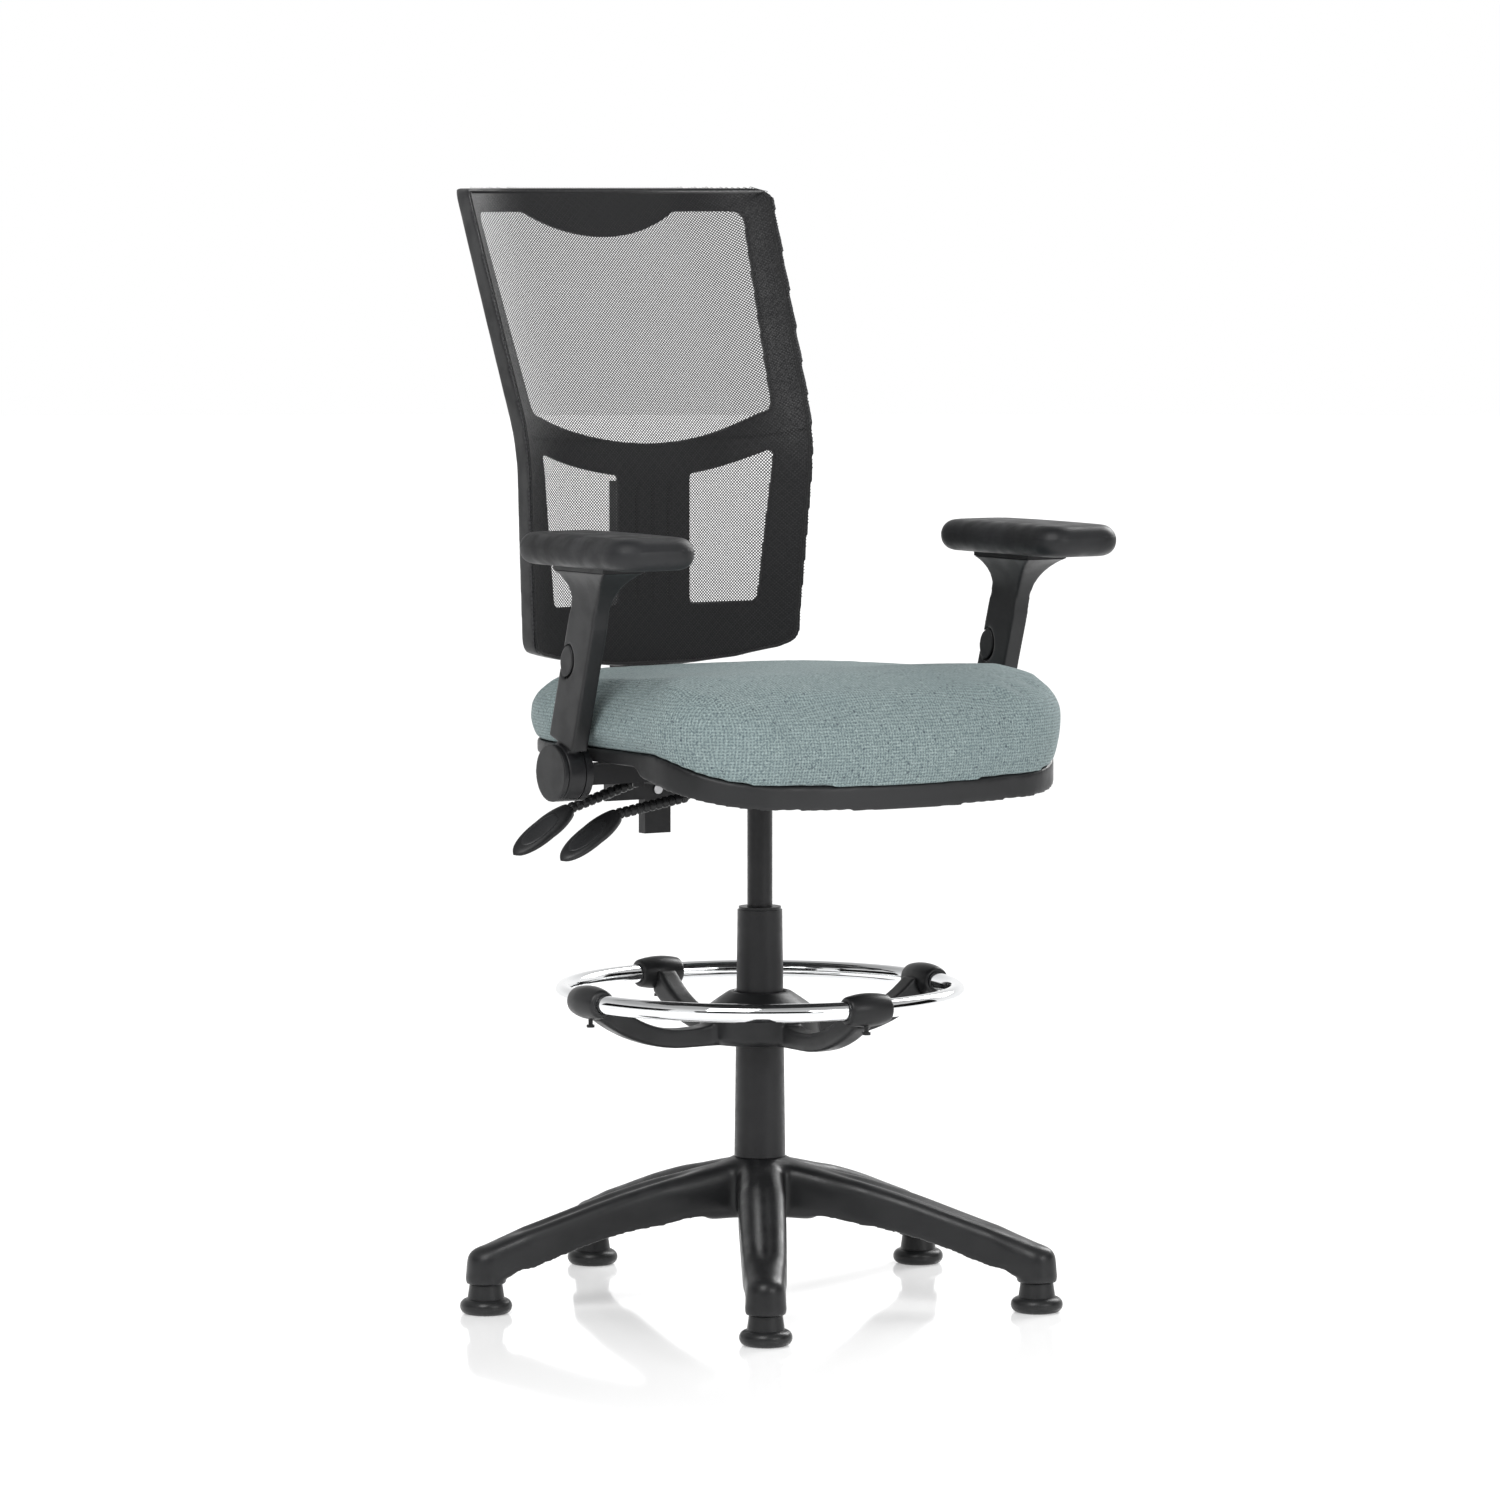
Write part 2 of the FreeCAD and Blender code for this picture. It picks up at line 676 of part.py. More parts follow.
def build_foot_ring():
    """Chrome ring, spider, four clamps with their screws, and the split collet on the column."""
    stand(ring_torus("footring_tube"), z=P.ring_z)
    barrels = []
    screws = []
    for i in range(4):
        x, y = polar(P.ring_radius, 90 * i)
        clamp = ring_clamp(f"clamp_barrel_{i + 1}")
        clamp.Placement.Rotation = FreeCAD.Rotation(FreeCAD.Vector(0, 0, 1), 90 * i)
        bind(clamp, "Placement.Base.x", x)
        bind(clamp, "Placement.Base.y", y)
        bind(clamp, "Placement.Base.z", P.ring_z)
        screw = cylinder(f"clamp_screw_{i + 1}", 2.5, 12, x, y, P.ring_z - P.ring_clamp_radius - 6)
        head = cylinder(f"clamp_screw_head_{i + 1}", 4.5, 3, x, y, P.ring_z - P.ring_clamp_radius - 9)
        screws.append(joined(f"clamp_fastener_{i + 1}", "Part::MultiFuse", screw, head))
        barrels.append(clamp)
    spider = spider_body()
    fasteners = joined("fastener_space", "Part::Compound", *screws)
    barrel_space = joined("barrel_space", "Part::MultiFuse", *barrels)
    spokes = joined("spokes_off_barrels", "Part::Cut", spider, barrel_space)
    stand(joined("footring_spider", "Part::Cut", spokes, fasteners))
    for i, barrel in enumerate(barrels):
        bored = joined(f"bored_barrel_{i + 1}", "Part::Cut", barrel, ring_torus(f"ring_space_{i + 1}"))
        stand(joined(f"ring_clamp_{i + 1}", "Part::Cut", bored, fasteners))
    stand(joined("ring_clamp_screws", "Part::Compound", *screws))
    collet = washer("collet_ring", P.collet_bore_radius, P.spider_bore_radius,
                    P.spider_bottom_z + 2, P.ring_z - 3)
    slit = block("collet_slit", 0, 40, -1.5, 1.5, P.spider_bottom_z, P.ring_z)
    stand(joined("footring_collet", "Part::Cut", collet, slit))


# ---------------------------------------------------------------- seat


def seat_plan(inset):
    """The seat's outline: a bowed front, wide front corners and rounder back corners."""
    half = P.seat_half_width - inset
    front = P.seat_front - inset
    back = P.seat_back - inset
    corner = P.seat_front_corner - inset
    round_back = P.seat_back_corner - inset
    side = front - P.seat_front_bow
    bend = 1 - math.sqrt(0.5)
    return [
        ("arc", (0, -front), (half - corner, -side)),
        ("arc", (half - bend * corner, -side + bend * corner), (half, -side + corner)),
        (half, back - round_back),
        ("arc", (half - bend * round_back, back - bend * round_back), (half - round_back, back)),
        (-half + round_back, back),
        ("arc", (-half + bend * round_back, back - bend * round_back), (-half, back - round_back)),
        (-half, -side + corner),
        ("arc", (-half + bend * corner, -side + bend * corner), (-half + corner, -side)),
    ]


def deck_line(lift):
    """The seat's side profile: low at the front edge, rising in an S to the flat deck."""
    deck = P.seat_deck_z + lift
    return [
        (-P.seat_front - 20, deck - 38),
        ("arc", (-267, deck - 24), (-233, deck - 13.5)),
        ("arc", (-196, deck - 3), (-150, deck)),
        (P.seat_back + 20, deck),
    ]


def seat_slice(name, inset, lines):
    """The seat's plan, inset, between two side profiles."""
    plan = slab(f"{name}_plan", "XY_Plane", seat_plan(inset), 260, offset=500)
    side = slab(f"{name}_side", "YZ_Plane", lines, 700, both_ways=True)
    return joined(f"{name}_slice", "Part::Common", plan, side)


def pan_underside(lift):
    """The pan's lower edge from the back forward, drawn after the deck line."""
    low = P.seat_deck_z + lift
    return [
        (P.seat_back + 20, low - 16.5),
        (-139, low - 16.5),
        (-150, low - 26),
        ("arc", (-229, low - 43), (-P.seat_front - 20, low - 64.5)),
    ]


def build_seat():
    """Pan, board and cushion, stacked on one side profile."""
    shell = seat_slice("pan", 0, deck_line(0.0) + pan_underside(0.0))
    skin = P.pan_skin
    cavity = seat_slice("pan_hollow", skin, deck_line(-skin) + [
        (P.seat_back + 20, P.seat_deck_z - 90), (-P.seat_front - 20, P.seat_deck_z - 90)])
    dish = joined("pan_dish", "Part::Cut", shell, cavity)
    bosses = [cylinder(f"pan_boss_{i}", 10, P.seat_deck_z - skin - arm_bar_top(),
                       x, P.arm_hub_y, arm_bar_top())
              for i, x in enumerate(arm_bolt_places())]
    moulding = joined("pan_moulding", "Part::MultiFuse", dish, *bosses)
    shanks = joined("bolt_space", "Part::Compound", *[
        cylinder(f"bolt_space_{i}", 4.2, 80, x, y, 580) for i, (x, y) in enumerate(bolt_places())])
    stand(joined("seat_pan", "Part::Cut", moulding, shanks))
    plan = slab("board_plan", "XY_Plane", board_outline(), P.board_thickness, offset=P.seat_deck_z)
    nuts_space = joined("nut_space", "Part::Compound", *[
        cylinder(f"nut_space_{i}", 5.5, 40, x, y, P.seat_deck_z - 10)
        for i, (x, y) in enumerate(bolt_places())])
    stand(joined("seat_board", "Part::Cut", plan, nuts_space))
    nuts = []
    for i, (x, y) in enumerate(bolt_places()):
        barrel = cylinder(f"nut_barrel_{i}", 5.5, P.board_thickness, x, y, P.seat_deck_z)
        bore = cylinder(f"nut_bore_{i}", 4, P.board_thickness, x, y, P.seat_deck_z)
        nuts.append(joined(f"nut_{i}", "Part::Cut", barrel, bore))
    stand(joined("tee_nuts", "Part::Compound", *nuts))
    build_cushion()


def board_outline():
    """The plywood board under the cushion: the seat's plan, inset and cut off ahead of the deck's drop."""
    half = P.seat_half_width - P.board_inset
    back = P.seat_back - P.board_inset
    corner = P.seat_back_corner - P.board_inset
    bend = 1 - math.sqrt(0.5)
    return [
        (-half + 40, -P.board_front),
        (half - 40, -P.board_front),
        (half, -P.board_front + 40),
        (half, back - corner),
        ("arc", (half - bend * corner, back - bend * corner), (half - corner, back)),
        (-half + corner, back),
        ("arc", (-half + bend * corner, back - bend * corner), (-half, back - corner)),
        (-half, -P.board_front + 40),
    ]


def build_cushion():
    """The upholstered foam: it overhangs the pan a little and is rounded all over its top."""
    outset = -P.cushion_overhang
    top = P.cushion_top_z
    lines = deck_line(0.0) + [
        (P.seat_back + 20, top - 4),
        ("arc", (60, top - 9), (-140, top)),
        ("arc", (-250, top - 8), (-P.seat_front - 20, top - 42)),
    ]
    foam = seat_slice("cushion", outset, lines)
    rounded = doc.addObject("Part::Fillet", "cushion_rounded")
    rounded.Base = foam
    doc.recompute()
    edges = [i for i, edge in enumerate(foam.Shape.Edges, 1)
             if edge.BoundBox.ZMin > P.cushion_top_z.value - 50]
    rounded.Edges = [(i, 24.0, 24.0) for i in edges]
    doc.recompute()
    board_space = slab("board_space", "XY_Plane", board_outline(), P.board_thickness, offset=P.seat_deck_z)
    stand(joined("seat_cushion", "Part::Cut", rounded, board_space))


def arm_bar_top():
    """The height of the arm bars' upper face."""
    return P.arm_hub_z + 8


def arm_bolt_places():
    """The four bolts that hold the arm bars: x of each."""
    return [side * x for side in (-1, 1) for x in (118, 178)]


def bolt_places():
    """Every bolt up into the board: four for the mechanism and four for the arm bars."""
    plate = [(sx * 87, y) for sx in (-1, 1) for y in (-80, 120)]
    return plate + [(x, P.arm_hub_y) for x in arm_bolt_places()]


def bolt(name, x, y, seat_z):
    """An M8 bolt: a head below seat_z and a shank up into the board."""
    head = cylinder(f"{name}_head", 6.5, 5.3, x, y, seat_z - 5.3)
    shank = cylinder(f"{name}_shank", 4, P.seat_deck_z + P.board_thickness - seat_z, x, y, seat_z)
    return joined(name, "Part::MultiFuse", head, shank)


# ---------------------------------------------------------------- mechanism


def build_mechanism():
    """A pressed housing under its top plate, with the cross pin that the back turns on."""
    half, wall = P.housing_half_width, P.housing_wall
    low, high = P.housing_bottom_z, P.plate_bottom_z
    outer = block("housing_outer", -half, half, -P.housing_front, P.housing_back, low, high)
    inner = block("housing_inner", -half + wall, half - wall, -P.housing_front + wall,
                  P.housing_back - wall, low + wall, high)
    box = joined("housing_box", "Part::Cut", outer, inner)
    openings = [
        cylinder("tube_opening", P.tube_radius + 1, 20, 0, 0, low - 5),
        cylinder("height_lever_opening", 9, 20, -half - 10, P.height_lever_y, lever_exit_z(0) + 2, ALONG_X),
        cylinder("back_lever_opening", 8, 20, -half - 10, P.back_lever_y, lever_exit_z(1), ALONG_X),
        cylinder("tilt_pin_space", P.tilt_pin_radius, 4 * half, -2 * half, P.tilt_pin_y, P.tilt_pin_z,
                 ALONG_X),
    ]
    spaces = joined("housing_openings", "Part::Compound", *openings)
    stand(joined("mechanism_housing", "Part::Cut", box, spaces))
    wide = P.plate_half_width
    plate = block("plate_blank", -wide, wide, -P.housing_front - 5, P.housing_back + 5,
                  high, high + P.plate_thickness)
    holes = joined("plate_holes", "Part::Compound", *[
        cylinder(f"plate_hole_{i}", 4.2, 20, x, y, high - 5) for i, (x, y) in enumerate(bolt_places()[:4])])
    stand(joined("mechanism_plate", "Part::Cut", plate, holes))
    stand(joined("seat_bolts", "Part::Compound", *[
        bolt(f"seat_bolt_{i}", x, y, high) for i, (x, y) in enumerate(bolt_places()[:4])]))
    pin_length = 2 * half + 14
    pivot_rod = cylinder("pivot_rod", P.tilt_pin_radius, pin_length, -half - 7, P.tilt_pin_y, P.tilt_pin_z,
                         ALONG_X)
    stand(pivot_rod, -half - 7, P.tilt_pin_y, P.tilt_pin_z, label="tilt_pin")
    spring = []
    for side, word in ((-1, "right"), (1, "left")):
        for i in range(7):
            inner = side * (half - 12 - 5 * i)
            coil = turned(f"coil_{word}_{i}", rectangle(inner - 1.5, P.tilt_pin_radius + 3, inner + 1.5,
                                                        P.tilt_pin_radius + 6.5), "XZ_Plane", "H_Axis")
            bind(coil, "Placement.Base.y", P.tilt_pin_y)
            bind(coil, "Placement.Base.z", P.tilt_pin_z)
            spring.append(coil)
    stand(joined("back_spring", "Part::Compound", *spring))


# ---------------------------------------------------------------- levers


def lever_exit_z(which):
    """Where a lever leaves the housing: 0 for the height lever, 1 for the back lever."""
    return (P.housing_bottom_z + 8, P.housing_bottom_z + 12)[which]


def lever_route(which):
    """A lever's rod in the X-Z plane: along the housing, out through its wall and down to the paddle."""
    exit_z = lever_exit_z(which)
    inner_z = P.pin_top_z + 4.4 if which == 0 else exit_z + 4
    reach = 7 if which == 0 else -30
    return [
        (reach, inner_z),
        (-42, inner_z),
        (-P.housing_half_width, exit_z),
        (-98, (567.5, 577.5)[which]),
        (-190, (552.0, 550.0)[which]),
    ]


def rod_along(name, route, y, radius):
    """A round rod through points in an X-Z plane, with a ball at each bend."""
    shapes = []
    for i, (start, stop) in enumerate(zip(route, route[1:])):
        (x0, z0), (x1, z1) = [tuple(map(number, p)) for p in (start, stop)]
        length = math.dist((x0, z0), (x1, z1))
        angle = math.degrees(math.atan2(x1 - x0, z1 - z0))
        shapes.append(cylinder(f"{name}_run_{i}", radius, length, start[0], y, start[1], ((0, 1, 0), angle)))
        if i:
            ball = doc.addObject("Part::Sphere", f"{name}_bend_{i}")
            bind(ball, "Radius", radius)
            for axis, size in (("x", start[0]), ("y", y), ("z", start[1])):
                bind(ball, f"Placement.Base.{axis}", size + 0 * P.column_y)
            shapes.append(ball)
    return shapes[0] if len(shapes) == 1 else joined(name, "Part::MultiFuse", *shapes)


def sleeve(name, length, radius):
    """A corrugated sleeve: a row of beads along Z, bored for the rod."""
    beads = 11
    pitch = length / beads
    points = [(P.lever_rod_radius, 0), (radius - 1.6, 0)]
    for i in range(beads):
        points += [(radius, pitch * (i + 0.3)), (radius, pitch * (i + 0.7)), (radius - 1.6, pitch * (i + 1))]
    points.append((P.lever_rod_radius, length))
    return turned(name, points)


def paddle(name):
    """A leaf-shaped paddle that lies along Z from its collar to its tip."""
    half, length = P.paddle_width / 2, P.paddle_length
    leaf = slab(f"{name}_plan", "YZ_Plane", [
        (6.5, 0),
        ("arc", (half, 0.4 * length), (5, length - 2)),
        (-5, length - 2),
        ("arc", (-half, 0.4 * length), (-6.5, 0)),
    ], P.paddle_thickness, both_ways=True)
    thick = P.paddle_thickness / 2
    side = slab(f"{name}_side", "XZ_Plane", [
        (thick, 0),
        ("arc", (thick - 1, 0.5 * length), (2, length)),
        (-2, length),
        ("arc", (1 - thick, 0.5 * length), (-thick, 0)),
    ], 2 * half, both_ways=True)
    return joined(name, "Part::Common", leaf, side)


PADDLE_DROOP, PADDLE_TWIST = 123, 32


def build_levers():
    """The height lever and the back lever: each a rod, a sleeve and a paddle."""
    for which, (name, y) in enumerate((("height_lever", P.height_lever_y), ("back_lever", P.back_lever_y))):
        route = lever_route(which)
        (x0, z0), (x1, z1) = [tuple(map(number, p)) for p in route[-2:]]
        slope = math.degrees(math.atan2(x1 - x0, z1 - z0))
        run = math.dist((x0, z0), (x1, z1))
        shaft = rod_along(f"{name}_shaft", route, y, P.lever_rod_radius)
        pivot = cylinder(f"{name}_pivot", P.lever_pivot_radius, P.lever_pivot_length, -P.housing_half_width,
                         y - P.lever_pivot_length / 2, lever_exit_z(which), FRONT_TO_BACK)
        stand(joined(f"{name}_rod", "Part::MultiFuse", shaft, pivot))
        stand(sleeve(f"{name}_sleeve", run - 2, 6.2), route[-2][0], y, route[-2][1], ((0, 1, 0), slope))
        leaf = paddle(f"{name}_leaf")
        droop = FreeCAD.Rotation(FreeCAD.Vector(0, 1, 0), -PADDLE_DROOP)
        leaf.Placement.Rotation = droop * FreeCAD.Rotation(FreeCAD.Vector(0, 0, 1), -PADDLE_TWIST)
        for axis, size in (("x", route[-1][0] + 4), ("y", y), ("z", route[-1][1] + 0.5)):
            bind(leaf, f"Placement.Base.{axis}", size + 0 * P.column_y)
        socket = rod_along(f"{name}_socket", route[-2:], y, P.lever_rod_radius)
        bushing = joined(f"{name}_hollowed", "Part::Cut", leaf, socket)
        collar_space = cylinder(f"{name}_collar_space", 6.2, run - 2, route[-2][0], y, route[-2][1],
                                ((0, 1, 0), slope))
        stand(joined(f"{name}_paddle", "Part::Cut", bushing, collar_space))


# ---------------------------------------------------------------- back


BACK_WRAP_ANGLE = 58.0


def back_section(front, rear):
    """The back's plan section between two depths behind its front face, drawn from the kink's axis."""
    flat, wrap = P.back_flat_half_width, P.back_wrap_radius
    turn = math.radians(BACK_WRAP_ANGLE)
    reach, mid_reach = flat + wrap * math.sin(turn), flat + wrap * math.sin(turn / 2)
    rise, mid_rise = wrap * (1 - math.cos(turn)), wrap * (1 - math.cos(turn / 2))
    return [
        ("arc", (-mid_reach, front - mid_rise), (-flat, front)),
        (flat, front),
        ("arc", (mid_reach, front - mid_rise), (reach, front - rise)),
        (reach, rear - rise),
        ("arc", (mid_reach, rear - mid_rise), (flat, rear)),
        (-flat, rear),
        ("arc", (-mid_reach, rear - mid_rise), (-reach, rear - rise)),
        (-reach, front - rise),
    ]


def back_shell(name, front, rear):
    """The back's section, taken straight up, round the soft kink and on up the leaning part."""
    body = new_body(name)
    radius = P.back_kink_radius
    points = back_section(front - radius, rear - radius)
    parts = (("straight", "Pad", 0), ("kink", "Revolution", 0), ("leaning", "Pad", -P.back_lean.value))
    for part, kind, tilt in parts:
        sketch = sketch_on(body, "XY_Plane", P.back_kink_z, part)
        sketch.AttachmentOffset.Rotation = FreeCAD.Rotation(FreeCAD.Vector(1, 0, 0), tilt)
        bind(sketch, "AttachmentOffset.Base.y", P.back_centre_y + radius)
        draw(sketch, points)
        feature = body.newObject(f"PartDesign::{kind}", f"{name}_{part}")
        feature.Profile = sketch
        if kind == "Revolution":
            feature.ReferenceAxis = (sketch, ["H_Axis"])
            bind(feature, "Angle", P.back_lean)
            feature.Reversed = True
        else:
            straight = part == "straight"
            bind(feature, "Length", P.back_kink_z - P.back_bottom_z if straight else P.back_leaning_length)
            feature.Reversed = part == "straight"
        doc.recompute()
    return body


def back_outline(inset):
    """The back seen from the front, narrower below, with a bowed lower edge."""
    top, bottom = 1236 - inset, 727 + inset
    return [
        ("arc", (0 * P.column_y, 695 + inset), (164 - inset, 715 + inset)),
        ("arc", (172.5 - inset, 720.5 + inset), (176.5 - inset, bottom + 4)),
        ("arc", (189.5 - inset, 941), (202.0 - inset, top - 14)),
        ("arc", (198.5 - inset, top - 4), (188 - inset, top)),
        (-188 + inset, top),
        ("arc", (-198.5 + inset, top - 4), (-202.0 + inset, top - 14)),
        ("arc", (-189.5 + inset, 941), (-176.5 + inset, bottom + 4)),
        ("arc", (-172.5 + inset, 720.5 + inset), (-164 + inset, 715 + inset)),
    ]


def outline_block(name, points):
    """An outline seen from the front, extruded through the whole back."""
    return slab(name, "XZ_Plane", points, 300, offset=-100, upside_down=True)


def window_blocks():
    """The three windows: one wide one above the lumbar bar and two below it, beside the spine."""
    upper = outline_block("upper_window", [
        (-100, 1209), ("arc", (0, 1180), (100, 1209)), (166, 1209),
        ("arc", (172.5, 1206), (175.5, 1199)), (160, 994),
        ("arc", (156, 984), (148, 981)),
        ("arc", (0, 948), (-148, 981)),
        ("arc", (-156, 984), (-160, 994)), (-175.5, 1199),
        ("arc", (-172.5, 1206), (-166, 1209)),
    ])
    lower = []
    for side, name in ((-1, "lower_window_right"), (1, "lower_window_left")):
        lower.append(outline_block(name, [
            (side * 47.5, 912), ("arc", (side * 100, 922), (side * 149, 938)),
            ("arc", (side * 152, 936), (side * 152.5, 930)), (side * 136, 774),
            ("arc", (side * 133.5, 768), (side * 127, 766)), (side * 52, 766),
            ("arc", (side * 48.8, 767.2), (side * 47.5, 770)),
        ]))
    return [upper, *lower]


def build_back():
    """Frame, mesh, spine, post, bracket and screws."""
    front, depth, skin = 0 * P.column_y, P.back_depth, P.back_skin
    whole = joined("frame_whole", "Part::Common", back_shell("frame_shell", front, front + depth),
                   outline_block("frame_outline", back_outline(0.0)))
    hollow = joined("frame_hollow", "Part::Common",
                    back_shell("hollow_shell", front + skin, front + depth + 15),
                    outline_block("hollow_outline", back_outline(P.back_rim)))
    tray = joined("frame_tray", "Part::Cut", whole, hollow)
    seat_of_spine = block("spine_seat", -P.spine_half_width, P.spine_half_width, P.back_centre_y + skin,
                          P.back_centre_y + 80, P.back_bottom_z, P.spine_top_z)
    openings = joined("frame_openings", "Part::Compound", *window_blocks(), seat_of_spine)
    stand(joined("back_frame", "Part::Cut", tray, openings))
    cloth = back_shell("mesh_shell", front - P.mesh_thickness, front)
    stand(joined("back_mesh", "Part::Common", cloth, outline_block("mesh_outline", back_outline(1.5))))


def build_back_support():
    """Spine on the frame, bent post in its channel, and the bracket that hinges on the mechanism."""
    gap = P.slide_gap
    front, thick, half = P.post_front_y, P.post_thickness, P.post_half_width
    upper = P.post_upper_y
    post = slab("post_bar", "YZ_Plane", [
        (front, P.post_bottom_z), (front + thick, P.post_bottom_z), (front + thick, 618),
        (upper + 12, 652), (upper + 12, P.post_top_z), (upper, P.post_top_z), (upper, 656), (front, 622),
    ], 2 * half, both_ways=True)
    skin_back = P.back_centre_y + P.back_skin
    spine = block("spine_block", -P.spine_half_width, P.spine_half_width, skin_back, upper + 24,
                  P.spine_bottom_z, P.spine_top_z)
    channel = block("spine_channel", -half - gap, half + gap, upper - gap, upper + 12 + gap, 640, 880)
    stand(joined("back_spine", "Part::Cut", spine, channel))
    ears = []
    for side in (-1, 1):
        inner = side * (P.housing_half_width + 0.5)
        outer = side * (P.housing_half_width + 5.0)
        low, high = (inner, outer) if side > 0 else (outer, inner)
        ears.append(slab(f"bracket_ear_{'left' if side > 0 else 'right'}", "YZ_Plane", [
            ("arc", (P.tilt_pin_y - 15, P.tilt_pin_z), (P.tilt_pin_y, P.tilt_pin_z + 15)),
            (P.bracket_front_y + 4, 606), (P.bracket_front_y + 4, 546), (P.bracket_front_y - 11, 552),
            (P.tilt_pin_y, P.tilt_pin_z - 15),
        ], high - low, offset=low))
    face = P.bracket_front_y
    bridge = block("bracket_bridge", -P.housing_half_width - 5, P.housing_half_width + 5,
                   face, face + 4, 546, 606)
    socket = block("bracket_socket", -half - 5, half + 5, face + 4, front + thick + 5, 546, 608)
    solid = joined("bracket_solid", "Part::MultiFuse", *ears, bridge, socket)
    post_space = block("post_space", -half, half, front, front + thick, 500, 620)
    pin_hole = cylinder("bracket_pin_hole", P.tilt_pin_radius + P.running_gap, 200, -100,
                        P.tilt_pin_y, P.tilt_pin_z, ALONG_X)
    rivet_space = joined("rivet_space", "Part::Compound", *[
        cylinder(f"rivet_hole_{i}", 3, 60, x, front + 30, z, BACK_TO_FRONT)
        for i, (x, z) in enumerate(rivet_places())])
    stand(joined("back_post", "Part::Cut", post, rivet_space))
    spaces = joined("bracket_space", "Part::Compound", post_space, pin_hole, rivet_space)
    stand(joined("back_bracket", "Part::Cut", solid, spaces))
    rear = front + thick + 5
    rivets = []
    for i, (x, z) in enumerate(rivet_places()):
        shank = cylinder(f"rivet_shank_{i}", 3, rear - face, x, rear, z, BACK_TO_FRONT)
        heads = [cylinder(f"rivet_head_{i}_{j}", 5.5, 2, x, y, z, BACK_TO_FRONT)
                 for j, y in enumerate((face, rear + 2))]
        rivets.append(joined(f"rivet_{i}", "Part::MultiFuse", shank, *heads))
    stand(joined("back_rivets", "Part::Compound", *rivets))


def rivet_places():
    """The four rivets that hold the post in its bracket: x and z of each."""
    return [(x, z) for x in (-11, 11) for z in (557, 596)]


# ---------------------------------------------------------------- arms


def along_rake(up, back):
    """A point of the arm in the Y-Z plane: a way up the raked upright and a way behind its axis."""
    turn = math.radians(P.arm_rake.value)
    return (P.arm_hub_y - up * math.sin(turn) + back * math.cos(turn),
            P.arm_hub_z + up * math.cos(turn) + back * math.sin(turn))


def raked_block(name, x, thickness, points):
    """An outline in the arm's raked plane, extruded evenly about x."""
    placed = []
    for item in points:
        if item[0] == "arc":
            placed.append(("arc", along_rake(*item[1]), along_rake(*item[2])))
        else:
            placed.append(along_rake(*item))
    return slab(name, "YZ_Plane", placed, thickness, both_ways=True, offset=x)


def lens(up, back, half_up, half_back):
    """A pointed oval about a place on the upright."""
    return [
        ("arc", (up, back - half_back), (up - half_up, back)),
        ("arc", (up, back + half_back), (up + half_up, back)),
    ]


def build_arm(side, name):
    """One arm: bar and axle, hub cap, neck, upright, button, plate and pad."""
    x = side * P.arm_x
    y, z = P.arm_hub_y, P.arm_hub_z
    radius, axle = P.arm_hub_radius, P.arm_axle_radius
    turn = ((0, 1, 0), 90 * side)

    def disc(label, size, near, far):
        return cylinder(f"{name}_{label}", size, far - near, side * near, y, z, turn)

    near, far = sorted((side * 100, side * 256))
    bar = block(f"{name}_bar", near, far, y - 15, y + 15, z - 14, z + 8)
    near, far = sorted((side * 95, side * 251))
    core = block(f"{name}_bar_core", near, far, y - 12, y + 12, z - 11, z + 5)
    bar_tube = joined(f"{name}_bar_tube", "Part::Cut", bar, core)
    mount = joined(f"{name}_mount", "Part::MultiFuse", bar_tube, disc("flange", radius, 253, 261.5),
                   disc("axle", axle, 255, 287))
    places = [bx for bx in arm_bolt_places() if bx * side > 0]
    holes = joined(f"{name}_bar_holes", "Part::Compound", *[
        cylinder(f"{name}_bar_hole_{i}", 4.2, 40, bx, y, z - 20) for i, bx in enumerate(places)])
    stand(joined(f"{name}_bracket", "Part::Cut", mount, holes))
    stand(joined(f"{name}_hub_cap", "Part::Cut", disc("cap", radius, 283.3, 289.5),
                 disc("cap_bore", axle, 280, 287)))
    half = P.neck_width / 2
    stem = raked_block(f"{name}_stem", x, P.neck_thickness,
                       [(0, -half), (150, -half), (150, half), (0, half)])
    hub = joined(f"{name}_hub", "Part::MultiFuse", stem, disc("drum", radius, 261.8, 283))
    stand(joined(f"{name}_neck", "Part::Cut", hub, disc("drum_bore", axle + P.running_gap, 255, 290)))
    build_upright(side, name, x)
    plate = slab(f"{name}_pad_plate", "XY_Plane", rectangle(x - 26, -166, x + 26, -54), P.arm_plate_thickness,
                 offset=P.arm_pad_bottom_z - P.arm_plate_thickness)
    soften(plate, 0 * x + 4.0, runs_along(2))
    stand(plate)
    build_pad(name, x)


